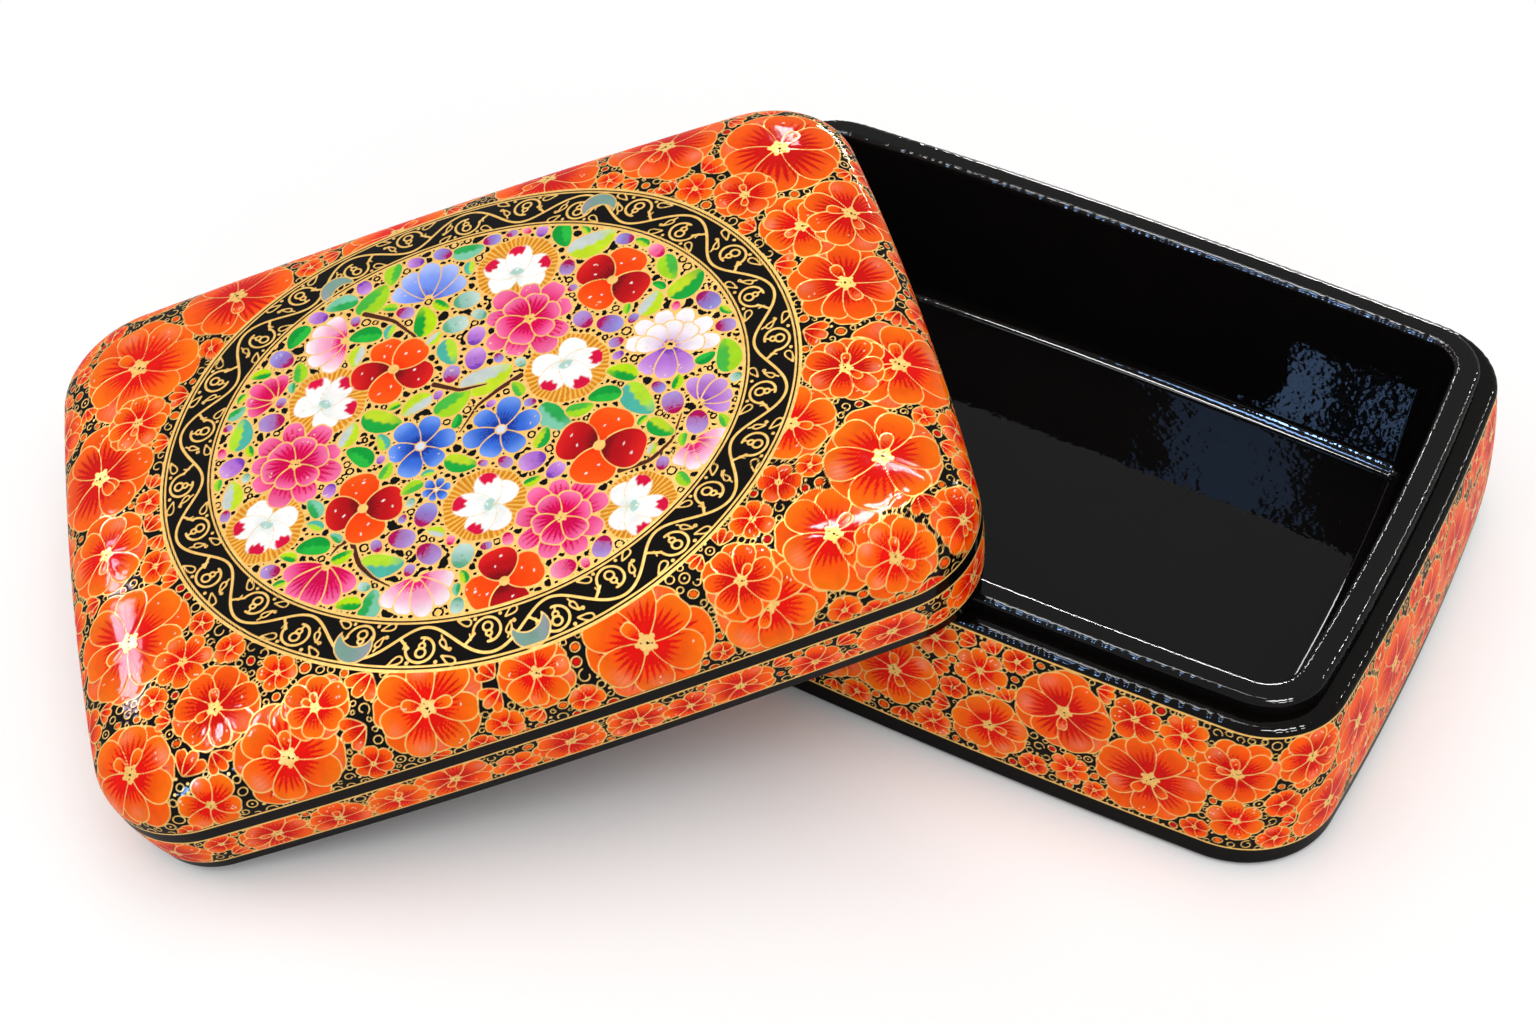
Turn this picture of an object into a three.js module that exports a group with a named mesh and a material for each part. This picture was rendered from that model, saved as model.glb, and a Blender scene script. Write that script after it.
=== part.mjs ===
// Papier mache trinket box: a moulded base with a raised locating collar and a domed lift off lid.
// The lid lies off the box, one corner on the table and its rim leaning on the base.
// Millimetres, Z up, origin under the middle of the base.
import * as THREE from 'three';
import { mergeVertices } from 'three/addons/utils/BufferGeometryUtils.js';

// Plan of the box where lid and base meet
const seamLength = 141;
const seamWidth = 103;
const cornerRadius = 14;
const longSideRadius = 1150;
const shortSideRadius = 560;
const smallestCorner = 3;

// Fits between pieces
const glueGap = 0.3;
const lidClearance = 0.3;
const restGap = 0.4;

// Outer wall of the base, moulded over a former and bowed out towards the foot
const wallThickness = 3.2;
const footFlare = 2.9;
const footEdgeRadius = 1.2;
const footBandHeight = 4.4;
const paintedBandTop = 29;
const shoulderRadius = 1.2;
const wallBow = 1.8;

// Bottom board, let into a rebate under the wall
const boardThickness = 2.4;
const boardLap = 1.5;
const boardChamfer = 0.4;

// Lining of the cavity, whose top stands proud as the collar that locates the lid
const collarThickness = 4.6;
const collarRise = 2.8;
const collarOuterRound = 1;
const collarInnerRound = 1.2;
const cavityDraft = 3.3;
const coveRadius = 2.6;

// Card laid on the cavity floor
const floorThickness = 1.1;

// Rim band of the lid, up to the black line
const rimHeight = 14.4;
const rimFlare = 1.6;
const rimEdgeRound = 0.6;
const rimLeadIn = 0.6;
const rimStepDrop = 1.6;

// Dome of the lid, lapped over a tongue on the rim
const domeRise = 12;
const domeThickness = 3.3;
const domeFullness = 5;
const domeShoulder = 3;
const lapLandWidth = 1.8;
const tongueHeight = 2;

// Where the lid leans, from the corner of the base it straddles
const lidYawDegrees = 40.7;
const lidShiftAlong = 4.5;
const lidShiftAcross = -4.3;

// Facets round the plan
const shortSideSteps = 5;
const cornerSteps = 7;
const longSideSteps = 7;
const roundSteps = 4;

// Heights and offsets that follow from the sizes above
const shoulderTop = paintedBandTop + shoulderRadius;
const wallInside = -wallThickness;
const rebateInside = wallInside + boardLap;
const boardEdge = rebateInside - glueGap;
const liningSeat = boardThickness + glueGap;
const collarOutside = wallInside - glueGap;
const collarInside = collarOutside - collarThickness;
const collarTop = shoulderTop + collarRise;
const floorTop = liningSeat + floorThickness;
const cavityFoot = collarInside - cavityDraft;
const coveToe = cavityFoot - coveRadius;
const rimInside = collarOutside + lidClearance;
const rimTop = rimHeight - glueGap / 2;
const domeFoot = rimHeight + glueGap / 2;
const rebateFace = rimFlare - lapLandWidth;
const tongueOutside = rebateFace - glueGap;
const domeInside = rimFlare - domeThickness;
const tongueTop = rimTop + tongueHeight;
const rebateCeiling = tongueTop + glueGap;

// One point of a section: how far outside the seam outline, and how high
function at(grow, height) {
  return { grow, height };
}

// Points along an arc of a section, in degrees
function arcPoints(grow, height, radius, from, to) {
  const points = [];
  for (let i = 0; i <= roundSteps; i += 1) {
    const angle = THREE.MathUtils.degToRad(from + ((to - from) * i) / roundSteps);
    points.push(at(grow + radius * Math.cos(angle), height + radius * Math.sin(angle)));
  }
  return points;
}

// Centre of the corner arc that is tangent to a long side arc and a short side arc
function cornerCentre(longCentre, longReach, shortCentre, shortReach) {
  const gap = shortCentre.clone().sub(longCentre);
  const distance = gap.length();
  const along = (distance * distance + longReach * longReach - shortReach * shortReach) / (2 * distance);
  const across = Math.sqrt(longReach * longReach - along * along);
  const unit = gap.divideScalar(distance);
  const side = new THREE.Vector2(-unit.y, unit.x);
  const first = longCentre.clone().addScaledVector(unit, along).addScaledVector(side, across);
  const second = longCentre.clone().addScaledVector(unit, along).addScaledVector(side, -across);
  return first.x > 0 && first.y > 0 ? first : second;
}

// The plan outline of four bowed sides and four corner arcs, grown outwards by an offset
function outline(grow) {
  const halfLength = seamLength / 2 + grow;
  const halfWidth = seamWidth / 2 + grow;
  const longRadius = longSideRadius + grow;
  const shortRadius = shortSideRadius + grow;
  const radius = Math.max(cornerRadius + grow, smallestCorner);
  const longCentre = new THREE.Vector2(0, halfWidth - longRadius);
  const shortCentre = new THREE.Vector2(halfLength - shortRadius, 0);
  const corner = cornerCentre(longCentre, longRadius - radius, shortCentre, shortRadius - radius);
  const cornerStart = Math.atan2(corner.y - shortCentre.y, corner.x - shortCentre.x);
  const cornerEnd = Math.atan2(corner.y - longCentre.y, corner.x - longCentre.x);
  const quarter = [];
  const addArc = (centre, arcRadius, from, to, steps) => {
    for (let i = 0; i < steps; i += 1) {
      const angle = from + ((to - from) * i) / steps;
      quarter.push(
        new THREE.Vector2(centre.x + arcRadius * Math.cos(angle), centre.y + arcRadius * Math.sin(angle)),
      );
    }
  };
  addArc(shortCentre, shortRadius, 0, cornerStart, shortSideSteps);
  addArc(corner, radius, cornerStart, cornerEnd, cornerSteps);
  addArc(longCentre, longRadius, cornerEnd, Math.PI / 2, longSideSteps);
  const crown = new THREE.Vector2(0, halfWidth);
  const upper = [...quarter, crown];
  const mirrored = quarter.map((p) => new THREE.Vector2(-p.x, p.y)).reverse();
  const half = [...upper, ...mirrored];
  const lower = half.slice(1, -1).map((p) => new THREE.Vector2(p.x, -p.y)).reverse();
  return [...half, ...lower];
}

// A loop of the outline lifted to a height, and shrunk towards the middle by a scale
function loopAt(point, scale = 1) {
  return outline(point.grow).map((p) => new THREE.Vector3(p.x * scale, p.y * scale, point.height));
}

// A solid from loops of equal count; a tip closes an end to a point in the middle
function solidFromLoops(chains) {
  const vertices = [];
  const faces = [];
  const place = (v) => {
    vertices.push(v.x, v.y, v.z);
    return vertices.length / 3 - 1;
  };
  const stitch = (lower, upper) => {
    for (let i = 0; i < lower.length; i += 1) {
      const j = (i + 1) % lower.length;
      faces.push(lower[i], lower[j], upper[j]);
      faces.push(lower[i], upper[j], upper[i]);
    }
  };
  const fan = (loop, tip, turned) => {
    for (let i = 0; i < loop.length; i += 1) {
      const j = (i + 1) % loop.length;
      faces.push(...(turned ? [loop[j], loop[i], tip] : [loop[i], loop[j], tip]));
    }
  };
  const ids = chains.loops.map((loop) => loop.map(place));
  for (let k = 0; k + 1 < ids.length; k += 1) {
    if (k !== chains.breakAfter) {
      stitch(ids[k], ids[k + 1]);
    }
  }
  if (chains.closed) {
    stitch(ids[ids.length - 1], ids[0]);
  }
  for (const cap of chains.caps) {
    fan(ids[cap.loop], place(cap.tip), cap.turned);
  }
  const geometry = new THREE.BufferGeometry();
  geometry.setAttribute('position', new THREE.Float32BufferAttribute(vertices, 3));
  geometry.setIndex(faces);
  return facingOut(geometry);
}

// Turns every face over if the solid is inside out
function facingOut(geometry) {
  const position = geometry.getAttribute('position');
  const index = geometry.getIndex();
  const a = new THREE.Vector3();
  const b = new THREE.Vector3();
  const c = new THREE.Vector3();
  let volume = 0;
  for (let i = 0; i < index.count; i += 3) {
    a.fromBufferAttribute(position, index.getX(i));
    b.fromBufferAttribute(position, index.getX(i + 1));
    c.fromBufferAttribute(position, index.getX(i + 2));
    volume += a.dot(b.cross(c));
  }
  if (volume < 0) {
    for (let i = 0; i < index.count; i += 3) {
      const kept = index.getX(i + 1);
      index.setX(i + 1, index.getX(i + 2));
      index.setX(i + 2, kept);
    }
  }
  return geometry;
}

// A band: a closed section carried once round the outline
function bandSolid(section) {
  return solidFromLoops({ loops: section.map((p) => loopAt(p)), closed: true, caps: [] });
}

// A plate: an edge section from underside to top, filled across
function plateSolid(section) {
  const first = section[0];
  const last = section[section.length - 1];
  return solidFromLoops({
    loops: section.map((p) => loopAt(p)),
    closed: false,
    caps: [
      { loop: 0, tip: new THREE.Vector3(0, 0, first.height), turned: true },
      { loop: section.length - 1, tip: new THREE.Vector3(0, 0, last.height), turned: false },
    ],
  });
}

// Outer wall with its bowed painted side, rounded shoulder and the rebate for the bottom board
function wallSection() {
  const section = [at(rebateInside, 0)];
  section.push(...arcPoints(footFlare - footEdgeRadius, footEdgeRadius, footEdgeRadius, -90, 0));
  for (const share of [0, 0.18, 0.36, 0.54, 0.7, 0.85, 1]) {
    const height = footBandHeight + share * (paintedBandTop - footBandHeight);
    section.push(at(footFlare * (1 - share ** wallBow), height));
  }
  section.push(...arcPoints(-shoulderRadius, paintedBandTop, shoulderRadius, 0, 90).slice(1));
  section.push(at(wallInside, shoulderTop));
  section.push(at(wallInside, liningSeat));
  section.push(at(rebateInside, liningSeat));
  return section;
}

// Bottom board with its eased lower edge
function boardSection() {
  return [
    at(boardEdge - boardChamfer, 0),
    at(boardEdge, boardChamfer),
    at(boardEdge, boardThickness),
  ];
}

// Lining: straight against the wall, rounded at the collar, drafted inside and coved at the floor
function liningSection() {
  const section = [at(collarOutside, liningSeat)];
  const outerRound = collarOuterRound;
  const innerRound = collarInnerRound;
  section.push(...arcPoints(collarOutside - outerRound, collarTop - outerRound, outerRound, 0, 90));
  section.push(...arcPoints(collarInside + innerRound, collarTop - innerRound, innerRound, 90, 180));
  section.push(...arcPoints(coveToe, floorTop + coveRadius, coveRadius, 0, -90));
  section.push(at(coveToe, liningSeat));
  return section;
}

// Card on the cavity floor, cut to the toe of the cove
function floorSection() {
  const edge = coveToe - glueGap;
  return [at(edge, liningSeat), at(edge, floorTop)];
}

// Rim band of the lid with a lead in for the collar and a tongue for the dome
function rimSection() {
  const section = [at(rimInside + rimLeadIn, 0)];
  section.push(...arcPoints(-rimEdgeRound, rimEdgeRound, rimEdgeRound, -90, 0));
  for (const share of [0.2, 0.45, 0.7, 1]) {
    const height = rimEdgeRound + share * (rimTop - rimEdgeRound);
    section.push(at(rimFlare * Math.sin((share * Math.PI) / 2), height));
  }
  section.push(at(tongueOutside, rimTop));
  section.push(at(tongueOutside, tongueTop));
  section.push(at(domeInside, tongueTop));
  section.push(at(domeInside, rimTop - rimStepDrop));
  section.push(at(rimInside, rimTop - 2 * rimStepDrop));
  section.push(at(rimInside, rimLeadIn));
  return section;
}

// Height share of the dome at a share of the way out from its middle
function crownShare(share) {
  return (1 - share ** domeFullness) ** (1 / domeShoulder);
}

// Dome of the lid: a pillow shell with a rebate inside its foot
function domeSolid() {
  const outer = [1, 0.997, 0.989, 0.974, 0.95, 0.915, 0.865, 0.8, 0.71, 0.59, 0.43, 0.22];
  const innerRise = domeRise - domeThickness;
  const rebateShare = (rebateCeiling - domeFoot) / innerRise;
  const innerStart = (1 - rebateShare ** domeShoulder) ** (1 / domeFullness);
  const inner = [0.22, 0.43, 0.6, 0.73, 0.83, 0.9, 0.95, 0.98].filter((share) => share < innerStart - 0.006);
  inner.push(innerStart);
  const outerLoops = outer.map((share) => loopAt(at(rimFlare, domeFoot + domeRise * crownShare(share)), share));
  const innerLoops = inner.map((share) => loopAt(at(domeInside, domeFoot + innerRise * crownShare(share)), share));
  const footLoops = [loopAt(at(rebateFace, rebateCeiling)), loopAt(at(rebateFace, domeFoot))];
  return solidFromLoops({
    loops: [...outerLoops, ...innerLoops, ...footLoops],
    breakAfter: outerLoops.length - 1,
    closed: true,
    caps: [
      { loop: outerLoops.length - 1, tip: new THREE.Vector3(0, 0, domeFoot + domeRise), turned: false },
      { loop: outerLoops.length, tip: new THREE.Vector3(0, 0, domeFoot + innerRise), turned: true },
    ],
  });
}

// How the lid is set down for given height and tilts
function lidPlacement(height, roll, pitch) {
  const spin = new THREE.Matrix4().makeRotationZ(THREE.MathUtils.degToRad(lidYawDegrees));
  const lift = new THREE.Matrix4().makeRotationY(pitch);
  const lean = new THREE.Matrix4().makeRotationX(roll);
  const x = -seamLength / 2 + lidShiftAlong;
  const y = -seamWidth / 2 + lidShiftAcross;
  return new THREE.Matrix4().makeTranslation(x, y, height).multiply(spin).multiply(lift).multiply(lean);
}

// Closely spaced points along both edges of the rim's flat foot
function rimFootPoints() {
  const points = [];
  const spacing = 24;
  for (const grow of [-rimEdgeRound, rimInside + rimLeadIn]) {
    const loop = outline(grow);
    for (let i = 0; i < loop.length; i += 1) {
      const next = loop[(i + 1) % loop.length];
      for (let k = 0; k < spacing; k += 1) {
        const p = loop[i].clone().lerp(next, k / spacing);
        points.push(new THREE.Vector3(p.x, p.y, 0));
      }
    }
  }
  return points;
}

// How far a point of the plan lies inside the long side and the short side of the base
function insetOf(x, y) {
  const longCentre = seamWidth / 2 - longSideRadius;
  const shortCentre = seamLength / 2 - shortSideRadius;
  return {
    long: longSideRadius - Math.hypot(x, Math.abs(y) - longCentre),
    short: shortSideRadius - Math.hypot(Math.abs(x) - shortCentre, y),
  };
}

// Clearances of the lid over the table, the front of the collar and the left of the collar
function restClearances(tilt, foot) {
  const placement = lidPlacement(tilt.height, tilt.roll, tilt.pitch);
  const flatStart = -(collarOutside - collarOuterRound);
  const flatEnd = -(collarInside + collarInnerRound);
  const point = new THREE.Vector3();
  let table = Infinity;
  let front = Infinity;
  let left = Infinity;
  for (const local of foot) {
    point.copy(local).applyMatrix4(placement);
    table = Math.min(table, point.z);
    const inset = insetOf(point.x, point.y);
    const inside = Math.min(inset.long, inset.short);
    if (inside > flatStart && inside < flatEnd) {
      if (inset.long < inset.short && point.y < 0) {
        front = Math.min(front, point.z - collarTop);
      }
      if (inset.short < inset.long && point.x < 0) {
        left = Math.min(left, point.z - collarTop);
      }
    }
  }
  return [table - restGap, front - restGap, left - restGap];
}

// The lid settles until it bears on the table, the front of the collar and the left of the collar
function settledLid() {
  const foot = rimFootPoints();
  const tilt = { height: 20, roll: 0.06, pitch: -0.25 };
  const keys = ['height', 'roll', 'pitch'];
  const step = 0.0005;
  for (let round = 0; round < 40; round += 1) {
    const now = restClearances(tilt, foot);
    const columns = keys.map((key) => {
      const moved = restClearances({ ...tilt, [key]: tilt[key] + step }, foot);
      return moved.map((value, i) => (value - now[i]) / step);
    });
    const slope = new THREE.Matrix3().set(
      columns[0][0], columns[1][0], columns[2][0],
      columns[0][1], columns[1][1], columns[2][1],
      columns[0][2], columns[1][2], columns[2][2],
    );
    const change = new THREE.Vector3(now[0], now[1], now[2]).applyMatrix3(slope.invert());
    tilt.height -= 0.6 * change.x;
    tilt.roll -= 0.6 * change.y;
    tilt.pitch -= 0.6 * change.z;
  }
  return lidPlacement(tilt.height, tilt.roll, tilt.pitch);
}

const box = new THREE.Group();
box.name = 'papier_mache_trinket_box';
const base = new THREE.Group();
base.name = 'base';
const lid = new THREE.Group();
lid.name = 'lid';
lid.applyMatrix4(settledLid());
box.add(base, lid);

// Adds one named piece, with its own finish, to the half of the box that carries it
function addPiece(half, name, geometry, colour, roughness) {
  const material = new THREE.MeshStandardMaterial({ color: colour, roughness, metalness: 0 });
  const mesh = new THREE.Mesh(mergeVertices(geometry, 1e-5), material);
  mesh.name = name;
  half.add(mesh);
}

const lacquerBlack = '#0c0b0b';
const paintedOrange = '#e8621a';

addPiece(base, 'base_wall', bandSolid(wallSection()), paintedOrange, 0.22);
addPiece(base, 'base_board', plateSolid(boardSection()), lacquerBlack, 0.4);
addPiece(base, 'base_lining', bandSolid(liningSection()), lacquerBlack, 0.12);
addPiece(base, 'base_floor', plateSolid(floorSection()), lacquerBlack, 0.12);
addPiece(lid, 'lid_rim', bandSolid(rimSection()), paintedOrange, 0.22);
addPiece(lid, 'lid_dome', domeSolid(), paintedOrange, 0.2);

export default box;
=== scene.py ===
"""Looks of a papier mache trinket box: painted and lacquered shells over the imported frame."""

import logging
import math
from dataclasses import dataclass, field
from enum import Enum
from typing import Iterator, Sequence

import bpy
import numpy as np
from mathutils import Matrix, Vector


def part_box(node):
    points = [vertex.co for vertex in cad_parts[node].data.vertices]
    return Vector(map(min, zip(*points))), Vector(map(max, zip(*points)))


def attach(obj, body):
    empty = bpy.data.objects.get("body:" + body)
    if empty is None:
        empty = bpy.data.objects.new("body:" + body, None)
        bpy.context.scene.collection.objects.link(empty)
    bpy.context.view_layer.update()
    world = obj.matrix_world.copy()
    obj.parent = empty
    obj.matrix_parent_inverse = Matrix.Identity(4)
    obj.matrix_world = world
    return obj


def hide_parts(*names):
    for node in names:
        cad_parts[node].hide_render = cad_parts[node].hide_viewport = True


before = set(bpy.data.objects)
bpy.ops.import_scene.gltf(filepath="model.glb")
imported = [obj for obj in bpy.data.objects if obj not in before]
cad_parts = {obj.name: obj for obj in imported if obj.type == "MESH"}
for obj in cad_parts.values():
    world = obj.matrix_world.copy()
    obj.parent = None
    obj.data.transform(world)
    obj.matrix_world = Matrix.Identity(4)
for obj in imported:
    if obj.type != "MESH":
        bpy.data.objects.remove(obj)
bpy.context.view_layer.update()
log = logging.getLogger("trinket_box")

# Metres in a millimetre, and the distance in mm at which gold has no more effect
MM = 0.001
FAR = 9.0
FULL_TURN = 2.0 * math.pi
SEED = 41

# Area of a painted band between its borders
FLOWERED = 1


def linear(code: str) -> np.ndarray:
    """Turns an sRGB hex colour into linear red, green and blue.

    Args:
        code: The colour as "#rrggbb".

    Returns:
        Three linear values from 0 to 1.
    """
    shares = np.array([int(code[i:i + 2], 16) for i in (1, 3, 5)]) / 255.0
    return np.where(shares <= 0.04045, shares / 12.92, ((shares + 0.055) / 1.055) ** 2.4)


def ease(value: np.ndarray, low: float, high: float) -> np.ndarray:
    """Smooth step of a value from 0 at low to 1 at high."""
    share = np.clip((value - low) / (high - low), 0.0, 1.0)
    return share * share * (3.0 - 2.0 * share)


def blend(first: np.ndarray, second: np.ndarray, share: np.ndarray) -> np.ndarray:
    """Mixes two colours, or rows of colours, by a share for each row."""
    return first + (second - first) * np.asarray(share)[..., None]


def arc(grow: float, height: float, radius: float, start: float, end: float, steps: int) -> np.ndarray:
    """Points along an arc of a section.

    Args:
        grow: Offset of the centre outside the seam outline.
        height: Height of the centre.
        radius: Radius of the arc.
        start: First angle in degrees.
        end: Last angle in degrees.
        steps: Number of chords.

    Returns:
        Rows of offset and height.
    """
    angle = np.radians(np.linspace(start, end, steps + 1))
    return np.column_stack([grow + radius * np.cos(angle), height + radius * np.sin(angle)])


def respaced(section: np.ndarray, spacing: float) -> np.ndarray:
    """Spaces the points of an open section evenly along its length.

    Args:
        section: Rows of offset and height.
        spacing: Distance wanted between points.

    Returns:
        The new rows.
    """
    steps = np.hypot(*np.diff(section, axis=0).T)
    length = np.concatenate([[0.0], np.cumsum(steps)])
    count = max(2, int(round(length[-1] / spacing)) + 1)
    at = np.linspace(0.0, length[-1], count)
    return np.column_stack([np.interp(at, length, section[:, 0]), np.interp(at, length, section[:, 1])])


@dataclass(frozen=True)
class SeamOutline:
    """Plan of the box where lid and base meet: four bowed sides and four corner arcs."""

    half_length: float
    half_width: float
    corner_radius: float = 14.0
    long_side_radius: float = 1150.0
    short_side_radius: float = 560.0

    def around(self, turn: np.ndarray) -> tuple[np.ndarray, np.ndarray]:
        """Points and outward normals at places round the outline.

        Args:
            turn: Place from 0 to 8, one for each half side, from the middle of the right side.

        Returns:
            Points and unit normals, as rows of two.
        """
        turn = np.asarray(turn, float) % 8.0
        quarter = np.floor(turn / 2.0).astype(int)
        local = np.where(quarter % 2 == 0, turn - 2.0 * quarter, 2.0 * quarter + 2.0 - turn)
        long_centre = np.array([0.0, self.half_width - self.long_side_radius])
        short_centre = np.array([self.half_length - self.short_side_radius, 0.0])
        corner = self._corner(long_centre, short_centre)
        first = math.atan2(*(corner - short_centre)[::-1])
        last = math.atan2(*(corner - long_centre)[::-1])
        middle = (first + last) / 2.0
        radius = self.corner_radius
        side = self.short_side_radius * first
        short_run = local * (side + radius * (middle - first))
        rise = np.where(
            short_run < side, short_run / self.short_side_radius, first + (short_run - side) / radius,
        )
        bend = radius * (last - middle)
        long_run = (local - 1.0) * (bend + self.long_side_radius * (math.pi / 2.0 - last))
        far = np.where(
            long_run < bend, middle + long_run / radius, last + (long_run - bend) / self.long_side_radius,
        )
        angle = np.where(local <= 1.0, rise, far)
        normal = np.column_stack([np.cos(angle), np.sin(angle)])
        in_short = (angle < first)[:, None]
        in_corner = ((angle >= first) & (angle <= last))[:, None]
        centre = np.where(in_short, short_centre, np.where(in_corner, corner, long_centre))
        reach = np.where(in_short, self.short_side_radius, np.where(in_corner, radius, self.long_side_radius))
        flip = np.column_stack([
            np.where((quarter == 1) | (quarter == 2), -1.0, 1.0), np.where(quarter >= 2, -1.0, 1.0),
        ])
        return (centre + normal * reach) * flip, normal * flip

    def _corner(self, long_centre: np.ndarray, short_centre: np.ndarray) -> np.ndarray:
        """Centre of the corner arc that is tangent to both side arcs.

        Args:
            long_centre: Centre of the long side's arc.
            short_centre: Centre of the short side's arc.

        Returns:
            The centre in plan.
        """
        long_reach = self.long_side_radius - self.corner_radius
        short_reach = self.short_side_radius - self.corner_radius
        gap = short_centre - long_centre
        distance = float(np.hypot(*gap))
        along = (distance ** 2 + long_reach ** 2 - short_reach ** 2) / (2.0 * distance)
        across = math.sqrt(long_reach ** 2 - along ** 2)
        unit = gap / distance
        side = np.array([-unit[1], unit[0]])
        first = long_centre + unit * along + side * across
        second = long_centre + unit * along - side * across
        return first if first.min() > 0.0 else second


@dataclass
class Shell:
    """Points, faces and bake map of one closed piece, in the millimetres of its own half of the box."""

    points: np.ndarray
    quads: np.ndarray
    quad_map: np.ndarray
    triangles: np.ndarray = field(default_factory=lambda: np.zeros((0, 3), int))
    triangle_map: np.ndarray = field(default_factory=lambda: np.zeros((0, 3, 2)))
    painted: int = 0

    def to_object(self, name: str, place: np.ndarray, canvas: "Canvas | None") -> bpy.types.Object:
        """Makes the Blender object.

        Args:
            name: Name of the piece.
            place: Matrix from the shell's millimetres to the frame's millimetres.
            canvas: The painting on the first points of the shell, if it has one.

        Returns:
            The linked object, with its paint as attributes.
        """
        points = self.points.astype(float).copy()
        if canvas is not None:
            points[:self.painted] += canvas.normals * canvas.height()[:, None]
        world = (points @ place[:3, :3].T + place[:3, 3]) * MM
        mesh = bpy.data.meshes.new(name)
        corners = np.concatenate([self.quads.ravel(), self.triangles.ravel()]).astype(np.int32)
        sides = [np.full(len(self.quads), 4), np.full(len(self.triangles), 3)]
        totals = np.concatenate(sides).astype(np.int32)
        starts = (np.cumsum(totals) - totals).astype(np.int32)
        mesh.vertices.add(len(world))
        mesh.vertices.foreach_set("co", world.astype(np.float32).ravel())
        mesh.loops.add(len(corners))
        mesh.loops.foreach_set("vertex_index", corners)
        mesh.polygons.add(len(totals))
        mesh.polygons.foreach_set("loop_start", starts)
        mesh.update(calc_edges=True)
        bake_map = mesh.uv_layers.new(name="OFBake")
        spots = np.concatenate([self.quad_map.reshape(-1, 2), self.triangle_map.reshape(-1, 2)])
        bake_map.uv.foreach_set("vector", spots.astype(np.float32).ravel())
        mesh.shade_smooth()
        mesh.set_sharp_from_angle(angle=math.radians(55.0))
        if canvas is not None:
            canvas.write(mesh, len(points))
        piece = bpy.data.objects.new(name, mesh)
        bpy.context.scene.collection.objects.link(piece)
        return piece


@dataclass(frozen=True)
class Band:
    """A closed section carried once round the outline; its first rows are the painted side."""

    outline: SeamOutline
    painted: np.ndarray
    hidden: np.ndarray
    half_side_steps: int
    painted_share: float = 0.82
    folds: int = 4

    def columns(self) -> int:
        """Number of points in one row round the outline."""
        return 8 * self.half_side_steps

    def shell(self) -> Shell:
        """Sweeps the section into a shell whose bake map is folded into four strips.

        Returns:
            The shell, its painted rows first.
        """
        section = np.concatenate([self.painted, self.hidden])
        columns = self.columns()
        rows = len(section)
        plan, normal = self.outline.around(np.arange(columns) / self.half_side_steps)
        points = np.empty((rows, columns, 3))
        points[:, :, :2] = plan[None] + section[:, 0, None, None] * normal[None]
        points[:, :, 2] = section[:, 1, None]
        row = np.arange(rows)[:, None]
        column = np.arange(columns)[None, :]
        above = (row + 1) % rows
        beside = (column + 1) % columns
        quads = np.stack([
            row * columns + column, row * columns + beside,
            above * columns + beside, above * columns + column,
        ], -1)
        last = len(self.painted) - 1
        share = np.concatenate([
            np.linspace(0.0, self.painted_share, last + 1),
            np.linspace(self.painted_share, 1.0, rows - last + 1)[1:],
        ])
        strip = columns // self.folds
        fold = column // strip
        left = (column % strip) / strip + 0.0 * row
        right = left + 1.0 / strip
        low = (fold + 0.02 + 0.96 * share[row]) / self.folds
        high = (fold + 0.02 + 0.96 * share[row + 1]) / self.folds
        bake = np.stack([
            np.stack([left, low], -1), np.stack([right, low], -1),
            np.stack([right, high], -1), np.stack([left, high], -1),
        ], -2)
        return Shell(
            points.reshape(-1, 3), quads.reshape(-1, 4), bake.reshape(-1, 4, 2),
            painted=len(self.painted) * columns,
        )

    def ridge(self, shell: Shell, weight: np.ndarray, height: float, seed: int) -> None:
        """Raises the uneven ridges that a lacquer brush leaves along rounded edges.

        Args:
            shell: The swept shell, changed in place.
            weight: Share of the full height for each row of the section.
            height: Height of a ridge.
            seed: Start of the ridges' chances.
        """
        rng = np.random.default_rng(seed)
        section = np.concatenate([self.painted, self.hidden])
        plan, normal = self.outline.around(np.arange(self.columns()) / self.half_side_steps)
        step = np.hypot(*(np.roll(plan, -1, 0) - plan).T)
        share = (np.cumsum(step) - step) / step.sum()
        climb = np.concatenate([[0.0], np.cumsum(np.hypot(*np.diff(section, axis=0).T))])
        wave = np.zeros((len(section), len(share)))
        for _ in range(9):
            count = int(rng.integers(int(step.sum() / 4.5), int(step.sum() / 1.4)))
            phase = rng.uniform(0.0, FULL_TURN) + rng.uniform(-1.5, 1.5) * climb
            wave += np.sin(FULL_TURN * count * share[None, :] + phase[:, None]) / 3.0
        slope = np.gradient(section, axis=0)
        slope = slope / np.maximum(np.hypot(*slope.T), 1e-9)[:, None]
        round_share = 0.12 + 0.88 * np.abs(2.0 * slope[:, 0] * slope[:, 1])
        offset = height * (weight * round_share)[:, None] * wave
        grid = shell.points.reshape(len(section), -1, 3)
        grid[:, :, :2] += (offset * slope[:, 1, None])[:, :, None] * normal[None]
        grid[:, :, 2] -= offset * slope[:, 0, None]

    def painted_normals(self, shell: Shell) -> np.ndarray:
        """Unit normals of the painted rows.

        Args:
            shell: The swept shell.

        Returns:
            One row for each painted point.
        """
        grid = shell.points[:shell.painted].reshape(-1, self.columns(), 3)
        along = np.roll(grid, -1, 1) - np.roll(grid, 1, 1)
        up = np.gradient(grid, axis=0)
        normal = np.cross(along, up).reshape(-1, 3)
        return normal / np.linalg.norm(normal, axis=1, keepdims=True)

    def canvas(self, shell: Shell) -> "Canvas":
        """A primed canvas on the painted rows of a swept shell."""
        return Canvas(shell.points[:shell.painted], self.painted_normals(shell), self.columns())


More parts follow.
